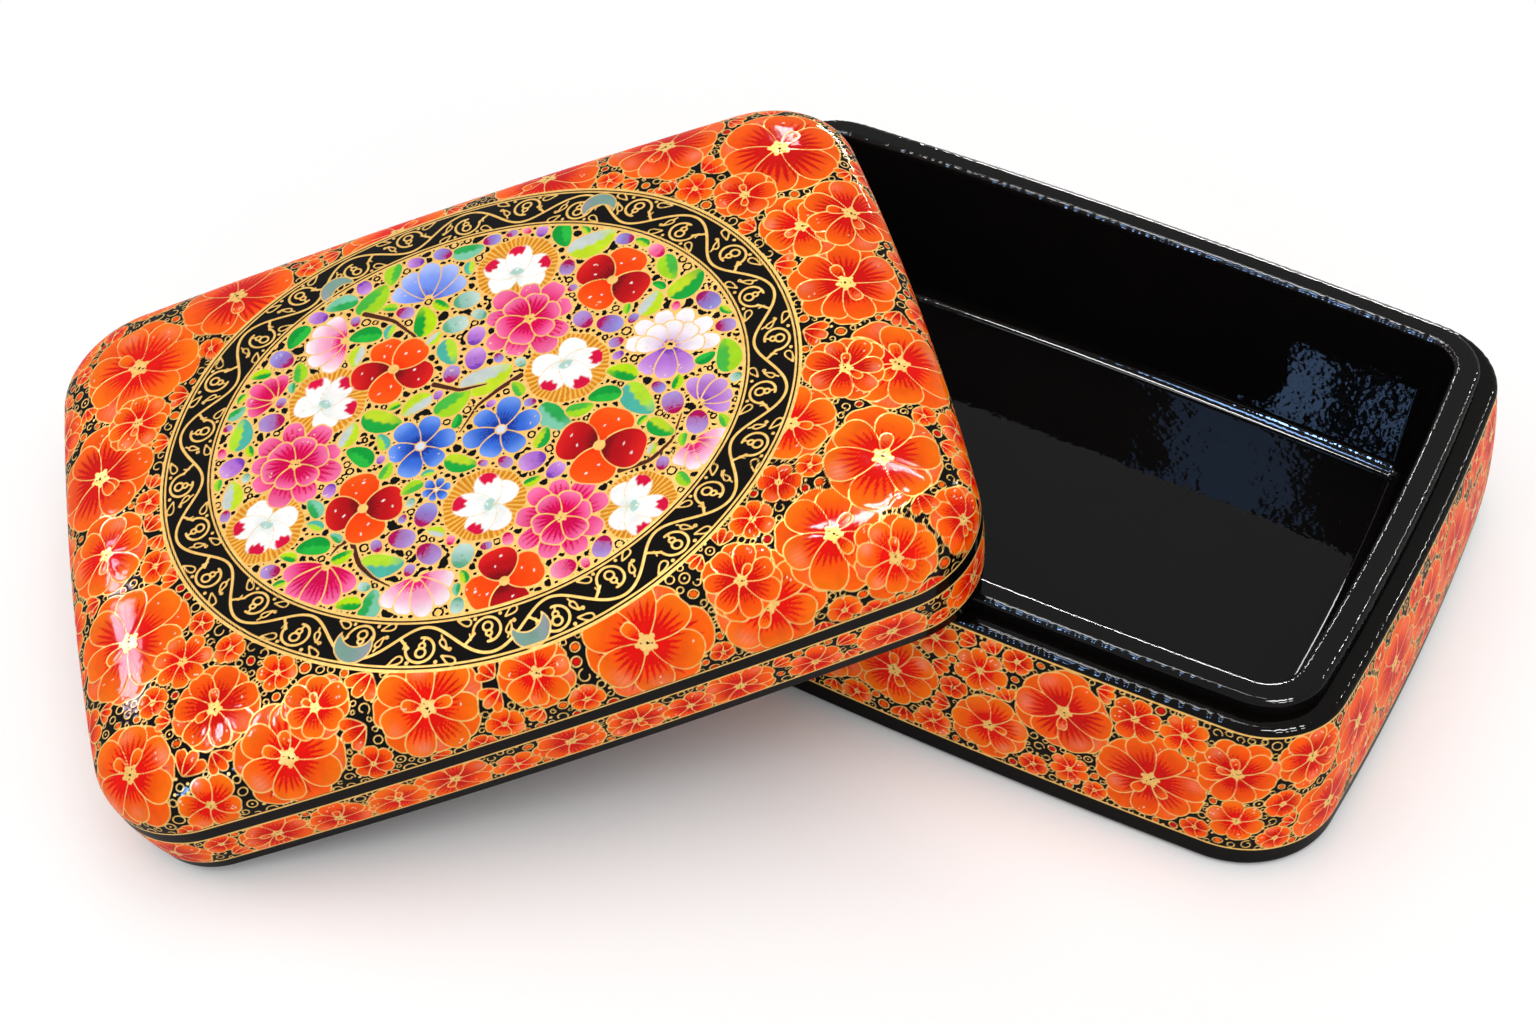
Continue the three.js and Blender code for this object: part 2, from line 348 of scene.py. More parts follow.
class PillowGrid:
    """A square grid of points drawn out to the seam outline, so that it has no pole."""

    def __init__(self, steps: int) -> None:
        """Numbers the rings of the grid.

        Args:
            steps: Number of rings from the middle to the edge.
        """
        self.steps = steps
        self.side = 2 * steps + 1
        across, along = np.meshgrid(np.arange(-steps, steps + 1), np.arange(-steps, steps + 1), indexing="ij")
        ring = np.maximum(np.abs(across), np.abs(along))
        size = np.maximum(ring, 1)
        turn = np.where(along == ring, 2.0 - across / size, 6.0 + across / size)
        turn = np.where(across == -ring, 4.0 - along / size, turn)
        turn = np.where(across == ring, (along / size) % 8.0, turn)
        self.ring = ring.ravel()
        self.turn = turn.ravel()
        self.spot = np.column_stack([across.ravel(), along.ravel()]) / (2.0 * steps) + 0.5

    def quads(self) -> np.ndarray:
        """Faces of the grid, facing up.

        Returns:
            Rows of four point numbers.
        """
        first, second = np.meshgrid(np.arange(self.side - 1), np.arange(self.side - 1), indexing="ij")
        corner = (first * self.side + second).ravel()
        return np.column_stack([corner, corner + self.side, corner + self.side + 1, corner + 1])

    def edge(self) -> np.ndarray:
        """Numbers of the edge points in order round the outline."""
        rim = np.flatnonzero(self.ring == self.steps)
        return rim[np.argsort(self.turn[rim])]


@dataclass(frozen=True)
class Site:
    """A place on a painted surface with its own directions."""

    centre: np.ndarray
    across: np.ndarray
    along: np.ndarray
    area: int


class Canvas:
    """The painting on one shell: colour, distance to gold lines, paint height and free room at each point."""

    CELL = 3.0
    LINE_HEIGHT = 0.022

    def __init__(self, points: np.ndarray, normals: np.ndarray, columns: int) -> None:
        """Primes the surface with the ground colour.

        Args:
            points: Points of the painted side, row by row.
            normals: Their unit normals.
            columns: Number of points in a row.
        """
        self.points = points
        self.normals = normals
        self.columns = columns
        self.covered = np.zeros(len(points), bool)
        self.colour = np.tile(linear(Ink.GROUND.value), (len(points), 1))
        self.gilt = np.full(len(points), FAR)
        self.relief = np.zeros(len(points))
        self.room = np.full(len(points), FAR * 2.0)
        self.area = np.zeros(len(points), np.int8)
        self.low = points.min(0) - self.CELL
        cells = np.floor((points - self.low) / self.CELL).astype(np.int64)
        self.shape = cells.max(0) + 2
        key = (cells[:, 0] * self.shape[1] + cells[:, 1]) * self.shape[2] + cells[:, 2]
        self.order = np.argsort(key, kind="stable")
        self.starts = np.searchsorted(key[self.order], np.arange(int(np.prod(self.shape)) + 1))

    def near(self, centre: np.ndarray, radius: float) -> np.ndarray:
        """Numbers of the points within a radius of a place.

        Args:
            centre: The place.
            radius: The radius.

        Returns:
            The numbers.
        """
        low = np.maximum(np.floor((centre - radius - self.low) / self.CELL).astype(int), 0)
        high = np.minimum(np.floor((centre + radius - self.low) / self.CELL).astype(int), self.shape - 1)
        found = []
        for i in range(low[0], high[0] + 1):
            for j in range(low[1], high[1] + 1):
                row = (i * self.shape[1] + j) * self.shape[2]
                found.append(self.order[self.starts[row + low[2]]:self.starts[row + high[2] + 1]])
        index = np.concatenate(found)
        offset = self.points[index] - centre
        return index[np.einsum("ij,ij->i", offset, offset) < radius * radius]

    def site(self, point: int, turn: float) -> Site:
        """Directions on the surface at one of its points, turned by an angle from the long axis.

        Args:
            point: Number of the point.
            turn: The angle in radians.

        Returns:
            The site.
        """
        normal = self.normals[point]
        guide = np.array([1.0, 0.0, 0.0]) if abs(normal[2]) > 0.5 else np.cross([0.0, 0.0, 1.0], normal)
        first = guide - normal * (guide @ normal)
        first = first / np.linalg.norm(first)
        second = np.cross(normal, first)
        across = first * math.cos(turn) + second * math.sin(turn)
        return Site(self.points[point], across, np.cross(normal, across), int(self.area[point]))

    def nearest(self, place: np.ndarray, area: int) -> int:
        """Number of the point of an area that is nearest to a place.

        Args:
            place: The place.
            area: The area.

        Returns:
            The number.
        """
        members = np.flatnonzero(self.area == area)
        offset = self.points[members] - place
        return int(members[np.argmin(np.einsum("ij,ij->i", offset, offset))])

    def patch(self, site: Site, radius: float) -> "Patch":
        """The points round a site, laid flat with their true distances.

        Args:
            site: The site.
            radius: How far the patch reaches.

        Returns:
            The patch.
        """
        index = self.near(site.centre, radius)
        index = index[self.area[index] == site.area]
        offset = self.points[index] - site.centre
        across = offset @ site.across
        along = offset @ site.along
        stretch = np.linalg.norm(offset, axis=1) / np.maximum(np.hypot(across, along), 1e-6)
        return Patch(self, index, across * stretch, along * stretch)

    def claim(self, centre: np.ndarray, radius: float, reach: float) -> None:
        """Takes the room inside a circle, and shortens the room of points within reach of it.

        Args:
            centre: Centre of the circle.
            radius: Its radius.
            reach: How far its effect goes.
        """
        index = self.near(centre, radius + reach)
        distance = np.linalg.norm(self.points[index] - centre, axis=1) - radius
        self.room[index] = np.minimum(self.room[index], distance)

    def measure_room(self, area: int, reach: float) -> None:
        """Measures the bare room round each point of an area from the paint already laid.

        Args:
            area: The area to measure.
            reach: Distance up to which room is measured.
        """
        free = (self.area == area) & ~self.covered
        grid = self.points.reshape(-1, self.columns, 3)
        room = np.where(free, reach, 0.0).reshape(-1, self.columns)
        steps = []
        for shift in ((0, 1), (1, 0), (1, 1), (1, -1)):
            steps.append((shift, np.linalg.norm(grid - np.roll(grid, shift, (0, 1)), axis=2)))
        for _ in range(int(reach / 0.15)):
            for shift, gap in steps:
                back = (-shift[0], -shift[1])
                room = np.minimum(room, np.roll(room, shift, (0, 1)) + gap)
                room = np.minimum(room, np.roll(room + gap, back, (0, 1)))
        self.room[free] = room.ravel()[free]
        self.room[(self.area == area) & self.covered] = -1.0

    def roomiest(self, members: np.ndarray) -> tuple[int, float]:
        """The point with the most free room among some points, and that room."""
        best = int(members[np.argmax(self.room[members])])
        return best, float(self.room[best])

    def height(self) -> np.ndarray:
        """Height of the paint over the ground, gold lines standing highest."""
        return self.relief + self.LINE_HEIGHT * ease(-self.gilt, -0.2, 0.15)

    def write(self, mesh: bpy.types.Mesh, count: int) -> None:
        """Stores colour and gold distance on a mesh whose first points are these.

        Args:
            mesh: The mesh.
            count: Number of its points.
        """
        colour = np.ones((count, 4), np.float32)
        colour[:, :3] = linear(Ink.GROUND.value)
        colour[:len(self.colour), :3] = self.colour
        gilt = np.full(count, FAR, np.float32)
        gilt[:len(self.gilt)] = np.clip(self.gilt, -FAR, FAR)
        mesh.attributes.new("paint", "FLOAT_COLOR", "POINT").data.foreach_set("color", colour.ravel())
        mesh.attributes.new("gilt", "FLOAT", "POINT").data.foreach_set("value", gilt)


class Ink(Enum):
    """Colours of the painter's table."""

    GROUND = "#080605"
    OCHRE = "#dd8612"
    OCHRE_PALE = "#f8c860"
    WHITE = "#fbf7f2"
    CRIMSON = "#dc0a40"
    AQUA = "#b4d6cc"
    STEM = "#4f2417"
    EYE = "#2a0f06"


@dataclass(frozen=True)
class PetalTint:
    """Brush colours of a petal from its throat to its tip, and of a pinkish painted highlight near its tip.
    """

    throat: str
    body: str
    tip: str
    reach: float = 0.42
    # Colour of a pinkish painted highlight near the tip of some petals: light painted into the colour
    painted_highlight: str = ""


class Tint(Enum):
    """The petal colours in use."""

    # The fifth colour of an orange tint is its painted highlight
    ORANGE = PetalTint("#e60d04", "#fd6000", "#ff7808", 0.76, "#fb9474")
    FLAME = PetalTint("#d40a04", "#fa4e00", "#ff6806", 0.8, "#f78468")
    PINK = PetalTint("#d6004f", "#f23484", "#fb80b2", 0.86)
    PINK_WHITE = PetalTint("#e8207c", "#fab4d2", "#fff8fa", 0.5)
    BLUE = PetalTint("#173aa0", "#3a70dc", "#78a4f4", 0.55)
    SKY = PetalTint("#5468d0", "#7c9af2", "#b9c8fa", 0.36)
    SCARLET = PetalTint("#ff3600", "#ff4a04", "#ff5e10", 0.3)
    RUBY = PetalTint("#7f060e", "#c20a14", "#e4201a", 0.42)
    SNOW = PetalTint("#e6efea", "#fffdfa", "#ffffff", 0.16)
    LILAC_SNOW = PetalTint("#b45cc0", "#f6e8f4", "#fffdfb", 0.36)
    VIOLET = PetalTint("#7a3cb4", "#ba78d4", "#d8a8e6", 0.36)
    PLUM = PetalTint("#b00a58", "#a884cc", "#b79ad6", 0.52)
    MAUVE = PetalTint("#a81060", "#8f7ed0", "#a3a0e0", 0.46)
    ROSE = PetalTint("#d80c5c", "#f86ca0", "#ffa6c4", 0.45)
    DEW = PetalTint("#5aa884", "#a6cec2", "#cde2d6", 0.4)


LEAF_TINTS = (
    ("#b6e010", "#10a234"), ("#0a9a36", "#26b83e"), ("#c4e024", "#c8d2cc"), ("#7cc8a8", "#2aa852"),
    ("#a4d820", "#48b840"), ("#4cb4a0", "#b4e030"), ("#18a63c", "#c0dc28"),
)
BUD_TINTS = (Tint.PLUM, Tint.MAUVE, Tint.ROSE, Tint.PLUM, Tint.DEW, Tint.VIOLET)


class Patch:
    """Part of a canvas laid flat round a site; brush strokes are given in its millimetres."""

    def __init__(self, canvas: Canvas, index: np.ndarray, x: np.ndarray, y: np.ndarray) -> None:
        """Keeps the points and their flat places.

        Args:
            canvas: The canvas.
            index: Numbers of the points.
            x: Their places forward.
            y: Their places sideways.
        """
        self.canvas = canvas
        self.index = index
        self.x = x
        self.y = y

    def lay(self, distance: np.ndarray, colour: np.ndarray, outline: float, height: float) -> None:
        """Lays a filled shape over what is there.

        Args:
            distance: Distance to the shape's edge, below zero inside.
            colour: One colour, or one for each point.
            outline: Half width of its gold outline, zero for none.
            height: Height of the paint in its middle.
        """
        canvas = self.canvas
        inside = distance < 0.0
        rows = self.index[inside]
        canvas.colour[rows] = colour[inside] if np.ndim(colour) == 2 else colour
        canvas.covered[self.index[distance < outline]] = True
        canvas.relief[rows] = height * ease(-distance[inside], 0.0, 1.2)
        edge = np.abs(distance) - outline if outline > 0.0 else np.abs(distance) + 0.1
        old = canvas.gilt[self.index]
        kept = np.minimum(old, edge) if outline > 0.0 else old
        canvas.gilt[self.index] = np.where(inside, edge, kept)

    def gild(self, distance: np.ndarray) -> None:
        """Lays gold where the distance to the stroke's edge is below zero."""
        self.canvas.gilt[self.index] = np.minimum(self.canvas.gilt[self.index], distance)

    def to_line(self, line: np.ndarray) -> np.ndarray:
        """Distance of each point to a line of closely spaced places.

        Args:
            line: Rows of places.

        Returns:
            One distance for each point.
        """
        gap_x = self.x[:, None] - line[None, :, 0]
        gap_y = self.y[:, None] - line[None, :, 1]
        return np.sqrt((gap_x * gap_x + gap_y * gap_y).min(1))

    def petal(self, rng: np.random.Generator, turn: float, length: float, width: float, tint: PetalTint,
              outline: float, base: float = 0.0, blot: str = "", taper: float = 0.32) -> None:
        """Paints one petal, its throat drawn out in pointed brush strokes, with painted highlights on some
        petals.

        Args:
            rng: Source of the brush's small chances.
            turn: Direction of the petal.
            length: Distance from the flower's middle to the petal's tip.
            width: Half of its greatest width.
            tint: Its colours.
            outline: Half width of its gold outline.
            base: How far from the middle the petal starts.
            blot: Colour of a blot near the tip, if it has one.
            taper: How much narrower the petal gets towards its foot.
        """
        along = self.x * math.cos(turn) + self.y * math.sin(turn)
        across = self.y * math.cos(turn) - self.x * math.sin(turn)
        half = (length - base) * 0.5
        reach = (along - base - half) / half
        notch = rng.uniform(0.0, 0.1)
        waist = width * (1.06 - taper + taper * np.clip(reach, -1.0, 1.0))
        tip = half * (1.0 - notch * np.exp(-(across / (0.32 * width)) ** 2) * (reach > 0.0))
        far = (along - base - half) / tip
        side = across / waist
        ring = np.hypot(far, side)
        slope = np.hypot(far / tip, side / waist)
        distance = ring * (ring - 1.0) / np.maximum(slope, 1e-6)
        share = np.clip(along / length, 0.0, 1.0)
        side = across / width
        spoke = 2.0 * across / np.maximum(along, 0.25 * length) * length / width + rng.uniform(0.0, 1.0)
        point = np.abs((spoke % 1.0) * 2.0 - 1.0)
        chance = 0.5 + 0.5 * np.sin(np.floor(spoke) * 12.9 + rng.uniform(0.0, FULL_TURN))
        fade = 1.0 - 0.25 * np.minimum(side * side, 1.0)
        edge = tint.reach * (0.46 + (0.26 + 0.34 * chance) * point) * fade
        throat = 1.0 - ease(share - edge, -0.03, 0.05)
        colour = blend(linear(tint.body), linear(tint.tip), 0.9 * ease(share, 0.5, 1.0))
        stain = 0.36 * (1.0 - ease(share, 0.2, tint.reach + 0.3))
        colour = blend(colour, linear(tint.throat), np.maximum(throat, stain))
        # A streaked pinkish painted highlight near the tip of some petals
        if tint.painted_highlight and rng.random() < 0.3:
            where = (side - rng.uniform(-0.5, 0.5)) ** 2 / 0.2 + (share - 0.78) ** 2 / 0.02
            streak = 0.75 + 0.25 * np.sin(30.0 * side + rng.uniform(0.0, FULL_TURN))
            colour = blend(colour, linear(tint.painted_highlight), rng.uniform(0.35, 0.9) * np.exp(-where) * streak)
        if blot:
            jag = 0.2 * np.abs((2.2 * side + rng.uniform(0.0, 1.0)) % 1.0 - 0.5)
            spot = np.hypot((share - 0.9 + jag) / 0.2, (side - rng.uniform(-0.25, 0.25)) / 0.62)
            colour = blend(colour, linear(blot), 1.0 - ease(spot, 0.85, 1.05))
        self.lay(distance, colour * rng.uniform(0.94, 1.04), outline, 0.03)
        # Pale specks near the tips of some petals: painted highlights, small glints of light painted into the
        # colour
        if length > 3.0 and rng.random() < 0.3:
            for _ in range(int(rng.integers(1, 4))):
                far = length * rng.uniform(0.6, 0.9)
                off = width * rng.uniform(-0.5, 0.5)
                speck = np.hypot(along - far, across - off) - 0.14
                self.lay(np.maximum(speck, distance), linear("#ffd9b8"), 0.0, 0.03)

    def eye(self, rng: np.random.Generator, radius: float) -> None:
        """Paints the gold heart of a flower with dark seeds and loose dots round it.

        Args:
            rng: Source of small chances.
            radius: Radius of the heart.
        """
        distance = np.hypot(self.x, self.y)
        self.gild(distance - radius)
        for turn in np.arange(5) * FULL_TURN / 5.0 + rng.uniform(0.0, 1.0):
            spot = np.hypot(self.x - radius * 1.1 * math.cos(turn), self.y - radius * 1.1 * math.sin(turn))
            self.gild(spot - 0.3 * radius)
        start = rng.uniform(0.0, FULL_TURN)
        for reach, size in ((0.1, 0.26), (0.62, 0.17), (-0.6, 0.15)):
            off_x = self.x - reach * radius * math.cos(start)
            off_y = self.y - reach * radius * math.sin(start)
            self.lay(np.hypot(off_x, off_y) - size * radius, linear(Ink.EYE.value), 0.0, 0.02)


class Motif(Enum):
    """Kinds of painted motif."""

    ORANGE = "orange blossom"
    PINK = "pink double blossom"
    BLUE = "blue blossom"
    FAN = "white blossom on an ochre disc"
    CROSS = "scarlet and ruby blossom"
    PEONY = "white and lilac peony"
    HALF_PINK = "pink blossom from the side"
    HALF_BLUSH = "pink and white blossom from the side"
    HALF_SKY = "sky blue blossom from the side"
    HALF_LILAC = "lilac blossom from the side"
    LEAF = "leaf in two greens"
    BUD = "bud"


class Painter:
    """Paints motifs on one canvas; line widths are half widths of the gold outlines."""

    LINE = 0.13
    FINE_LINE = 0.1
    SIDE_VIEWS = {
        Motif.HALF_PINK: Tint.PINK, Motif.HALF_BLUSH: Tint.PINK_WHITE,
        Motif.HALF_SKY: Tint.SKY, Motif.HALF_LILAC: Tint.VIOLET,
    }

    def __init__(self, canvas: Canvas, seed: int, flame: float) -> None:
        """Takes up a canvas.

        Args:
            canvas: The surface to paint.
            seed: Start of every small chance, so that each run is the same.
            flame: Share of the orange blossoms that are of the redder kind.
        """
        self.canvas = canvas
        self.rng = np.random.default_rng(seed)
        self.flame = flame

    def gaps(self, members: np.ndarray, least: float) -> Iterator[tuple[Site, float]]:
        """Finds the roomiest gap again and again, each turned by chance, until the room runs out.

        Args:
            members: Numbers of the points to look among.
            least: Room at which the search ends.

        Returns:
            The site and the room of each gap.
        """
        while True:
            point, room = self.canvas.roomiest(members)
            if room < least:
                return
            yield self.canvas.site(point, self.rng.uniform(0.0, FULL_TURN)), room

    def paint(self, motif: Motif, site: Site, size: float) -> None:
        """Paints one motif of a given radius at a site.

        Args:
            motif: Its kind.
            site: Where it goes.
            size: Its radius.
        """
        patch = self.canvas.patch(site, size * 1.25 + 0.6)
        if len(patch.index) == 0:
            return
        if motif in self.SIDE_VIEWS:
            self._half(patch, size, self.SIDE_VIEWS[motif].value)
            return
        brush = {
            Motif.ORANGE: self._orange, Motif.PINK: self._pink, Motif.BLUE: self._blue, Motif.FAN: self._fan,
            Motif.CROSS: self._cross, Motif.PEONY: self._peony, Motif.LEAF: self._leaf, Motif.BUD: self._bud,
        }[motif]
        brush(patch, size)

    def _pink(self, patch: Patch, size: float) -> None:
        """Paints a pink blossom of two rings.

        Args:
            patch: The ground under it.
            size: Its radius.
        """
        self._rosette(patch, size, 9, Tint.PINK.value, self.LINE)
        self._rosette(patch, size * 0.66, 6, Tint.PINK.value, self.LINE)
        patch.eye(self.rng, 0.1 * size)

    def _blue(self, patch: Patch, size: float) -> None:
        """Paints a blue blossom with a pale heart."""
        self._rosette(patch, size, 6, Tint.BLUE.value, self.LINE, 0.86)
        patch.lay(np.hypot(patch.x, patch.y) - 0.14 * size, linear("#dfe4f4"), self.LINE, 0.02)

    def _rosette(self, patch: Patch, size: float, count: int, tint: PetalTint, outline: float,
                 fullness: float = 1.0, start: float = 0.0) -> None:
        """Paints a ring of petals that lap over each other.

        Args:
            patch: The ground under it.
            size: Its radius.
            count: Number of petals.
            tint: Their colours.
            outline: Half width of their gold outlines.
            fullness: Share of their full width.
            start: Direction of the first one.
        """
        for k in range(count):
            turn = start + FULL_TURN * k / count + self.rng.normal(0.0, 0.05)
            length = size * self.rng.uniform(0.9, 1.06)
            width = length * 0.74 * math.tan(math.pi / count) * fullness * self.rng.uniform(1.05, 1.22)
            patch.petal(self.rng, turn, length, width, tint, outline, 0.06 * size)

    def _orange(self, patch: Patch, size: float) -> None:
        """Paints an orange blossom, in two tiers with folded petals when it is large.

        Args:
            patch: The ground under it.
            size: Its radius.
        """
        outline = 0.11 if size > 4.0 else self.FINE_LINE
        tint = (Tint.FLAME if self.rng.random() < self.flame else Tint.ORANGE).value
        count = int(self.rng.integers(6, 8))
        if size > 5.2:
            self._rosette(patch, size, count, Tint.FLAME.value, outline, 0.95, math.pi / count)
            self._rosette(patch, size * 0.95, count, tint, outline, 0.88)
            for _ in range(int(self.rng.integers(1, 3))):
                turn = self.rng.uniform(0.0, FULL_TURN)
                patch.petal(self.rng, turn, 0.46 * size, 0.13 * size, tint, outline, 0.08 * size)
        elif size > 3.2:
            self._rosette(patch, size, count, tint, outline, 0.95)
        else:
            self._rosette(patch, size, 5, tint, outline)
        patch.eye(self.rng, max(0.45, 0.13 * size))

    def _half(self, patch: Patch, size: float, tint: PetalTint) -> None:
        """Paints a blossom seen from the side, its petals fanned one way.

        Args:
            patch: The ground under it.
            size: Its radius.
            tint: Its colours.
        """
        patch.x = patch.x + 0.55 * size
        for turn in sorted(np.linspace(-1.05, 1.05, 5), key=lambda value: -abs(value)):
            length = 1.5 * size * self.rng.uniform(0.92, 1.04) * (1.0 - 0.12 * abs(turn))
            patch.petal(self.rng, turn, length, 0.42 * size, tint, self.LINE, 0.1 * size)
        patch.gild(np.hypot(patch.x - 0.1 * size, patch.y) - 0.12 * size)

    def _fan(self, patch: Patch, size: float) -> None:
        """Paints white petals with crimson tips on a rayed and scalloped ochre disc.

        Args:
            patch: The ground under it.
            size: Its radius.
        """
        angle = np.arctan2(patch.y, patch.x)
        disc = np.hypot(patch.x, patch.y) - size * (0.97 + 0.05 * np.abs(np.cos(4.5 * angle)))
        rays = ease(np.cos(46.0 * angle + 1.2 * np.sin(5.0 * angle)), 0.2, 0.8)
        patch.lay(disc, blend(linear(Ink.OCHRE.value), linear(Ink.OCHRE_PALE.value), rays), self.LINE, 0.02)
        patch.x = patch.x + 0.22 * size
        spread = self.rng.uniform(0.95, 1.15)
        for turn, share in ((-2.0, 0.74), (2.0, 0.74), (-spread, 0.92), (spread, 0.92), (0.0, 0.98)):
            length = share * size * self.rng.uniform(0.95, 1.05)
            blot = Ink.CRIMSON.value if abs(turn) < 1.5 else ""
            lean = turn + self.rng.normal(0.0, 0.06)
            patch.petal(self.rng, lean, length, 0.36 * size, Tint.SNOW.value, 0.07, 0.0, blot, 0.16)
        star = 0.12 * size * (1.0 + 0.5 * np.cos(3.0 * angle))
        patch.lay(np.hypot(patch.x - 0.06 * size, patch.y) - star, linear(Ink.AQUA.value), 0.0, 0.02)

    def _cross(self, patch: Patch, size: float) -> None:
        """Paints broad petals, scarlet and ruby by turns, with white dots.

        Args:
            patch: The ground under it.
            size: Its radius.
        """
        start = self.rng.uniform(0.0, FULL_TURN)
        count = int(self.rng.integers(4, 6))
        for k in range(count):
            turn = start + FULL_TURN * k / count + self.rng.normal(0.0, 0.07)
            tint = (Tint.SCARLET if k % 2 == 0 else Tint.RUBY).value
            length = size * self.rng.uniform(0.92, 1.05)
            patch.petal(self.rng, turn, length, 2.3 * size / count, tint, self.LINE, 0.04 * size, taper=0.2)
            for reach, lean in ((0.72, -0.16), (0.5, 0.2)):
                spot_x = patch.x - reach * length * math.cos(turn + lean)
                spot_y = patch.y - reach * length * math.sin(turn + lean)
                patch.lay(np.hypot(spot_x, spot_y) - 0.2, linear(Ink.WHITE.value), 0.0, 0.03)
        patch.gild(np.hypot(patch.x, patch.y) - 0.13 * size)

    def _peony(self, patch: Patch, size: float) -> None:
        """Paints white petals stacked behind lilac ones.

        Args:
            patch: The ground under it.
            size: Its radius.
        """
        for reach, count in ((1.0, 6), (0.7, 5)):
            for turn in np.linspace(-1.45, 1.45, count):
                length = reach * size * self.rng.uniform(0.94, 1.05)
                patch.petal(self.rng, turn, length, 0.27 * size, Tint.LILAC_SNOW.value, self.LINE, 0.1 * size)
        for turn in (2.5, -2.5, math.pi):
            patch.petal(self.rng, turn, 0.85 * size, 0.3 * size, Tint.VIOLET.value, self.LINE, 0.02 * size)
        patch.gild(np.hypot(patch.x, patch.y) - 0.09 * size)

    def _leaf(self, patch: Patch, size: float) -> None:
        """Paints a rounded leaf whose halves differ, with a ragged line between them.

        Args:
            patch: The ground under it.
            size: Its radius.
        """
        bow = 0.14 * (patch.x / size) ** 2 * size
        across = patch.y - bow + 0.05 * size
        width = 0.6 * size * (1.0 - 0.22 * np.clip(patch.x / size, -1.0, 1.0))
        far = patch.x / size
        side = across / width
        ring = np.hypot(far, side)
        slope = np.hypot(far / size, side / width)
        distance = ring * (ring - 1.0) / np.maximum(slope, 1e-6)
        light, dark = LEAF_TINTS[int(self.rng.integers(len(LEAF_TINTS)))]
        rag = 0.22 * size * (np.abs((2.3 * far + self.rng.uniform(0.0, 1.0)) % 1.0 - 0.5) - 0.25)
        colour = blend(linear(light), linear(dark), ease(across - rag, -0.05 * size, 0.07 * size))
        colour = blend(colour, linear(light), 0.6 * ease(far, 0.2, 0.9))
        patch.lay(distance, colour, self.LINE, 0.025)

    def _bud(self, patch: Patch, size: float) -> None:
        """Paints a round bud, dark at its foot.

        Args:
            patch: The ground under it.
            size: Its radius.
        """
        tint = BUD_TINTS[int(self.rng.integers(len(BUD_TINTS)))].value
        patch.x = patch.x + size
        patch.petal(self.rng, 0.0, 2.0 * size, 0.78 * size, tint, self.LINE, taper=0.06)

    def small_blossom(self, site: Site, size: float) -> None:
        """Paints one of the small orange buds and part flowers that fill the ground.

        Args:
            site: Where it goes.
            size: Its radius.
        """
        patch = self.canvas.patch(site, size * 1.3 + 0.6)
        tint = (Tint.FLAME if self.rng.random() < 0.3 + 0.5 * self.flame else Tint.ORANGE).value
        choice = self.rng.random()
        if size > 1.9 and choice < 0.5:
            self._rosette(patch, size, 5, tint, self.FINE_LINE)
            patch.eye(self.rng, max(0.36, 0.14 * size))
        elif size > 1.3:
            patch.x = patch.x + 0.8 * size
            for turn in (-0.62, 0.62, 0.0):
                patch.petal(self.rng, turn, 1.75 * size, 0.5 * size, tint, self.FINE_LINE)
        else:
            patch.x = patch.x + size
            patch.petal(self.rng, 0.0, 1.9 * size, 0.72 * size, tint, self.FINE_LINE, taper=0.1)

    def filigree(self, site: Site, size: float) -> None:
        """Paints a gold ring, often with a spot of colour in it, a curl or a dot.

        Args:
            site: Where it goes.
            size: Its radius.
        """
        patch = self.canvas.patch(site, size + 0.9)
        radius = np.hypot(patch.x, patch.y * self.rng.uniform(0.9, 1.25))
        if size < 0.4:
            patch.gild(radius - 0.7 * size)
            return
        half_line = 0.08 + 0.035 * min(size, 1.3)
        loop = np.abs(radius - 0.82 * size) - half_line
        choice = self.rng.random()
        if size > 0.7 and choice < 0.4:
            spot = (Tint.FLAME if choice < 0.25 else Tint.ORANGE).value
            patch.lay(radius - 0.6 * size, linear(spot.throat if choice < 0.12 else spot.body), 0.0, 0.02)
        if choice < 0.65:
            patch.gild(loop)
            if size > 0.75 and choice > 0.52:
                patch.gild(radius - 0.2 * size)
            return
        angle = np.linspace(0.0, self.rng.uniform(4.4, 7.0), 40)
        sweep = 0.95 * size * (1.0 - 0.085 * angle)
        curl = np.column_stack([sweep * np.cos(angle), sweep * np.sin(angle)])
        patch.gild(patch.to_line(curl) - half_line)

    def shell(self, site: Site, size: float) -> None:
        """Paints a pale crescent of green and grey, edged in gold.

        Args:
            site: Where it goes.
            size: Its radius.
        """
        patch = self.canvas.patch(site, size * 1.3)
        crescent = np.hypot(patch.x, patch.y) - size
        crescent = np.maximum(crescent, 0.85 * size - np.hypot(patch.x, patch.y + 0.75 * size))
        share = ease(patch.x, -0.9 * size, 0.1 * size) * 0.4
        colour = blend(linear("#8f9a9e"), linear(Tint.DEW.value.throat), share)
        patch.lay(crescent, colour, 0.12, 0.02)

    def hole(self, site: Site, size: float) -> None:
        """Leaves a speck of the black ground bare in a gilded field.

        Args:
            site: Where it goes.
            size: Its radius.
        """
        patch = self.canvas.patch(site, size * 2.0 + 0.3)
        if size > 0.5 and self.rng.random() < 0.3:
            speck = np.abs(np.hypot(patch.x, patch.y) - 0.8 * size) - 0.22
        else:
            stretch = self.rng.uniform(1.0, 2.1)
            bend = patch.y - 0.3 * patch.x ** 2 / size
            speck = np.hypot(patch.x / stretch, bend) - size * self.rng.uniform(0.7, 1.0)
        speck = np.where(self.canvas.covered[patch.index], FAR, speck)
        patch.lay(speck, linear(Ink.GROUND.value), 0.0, 0.0)

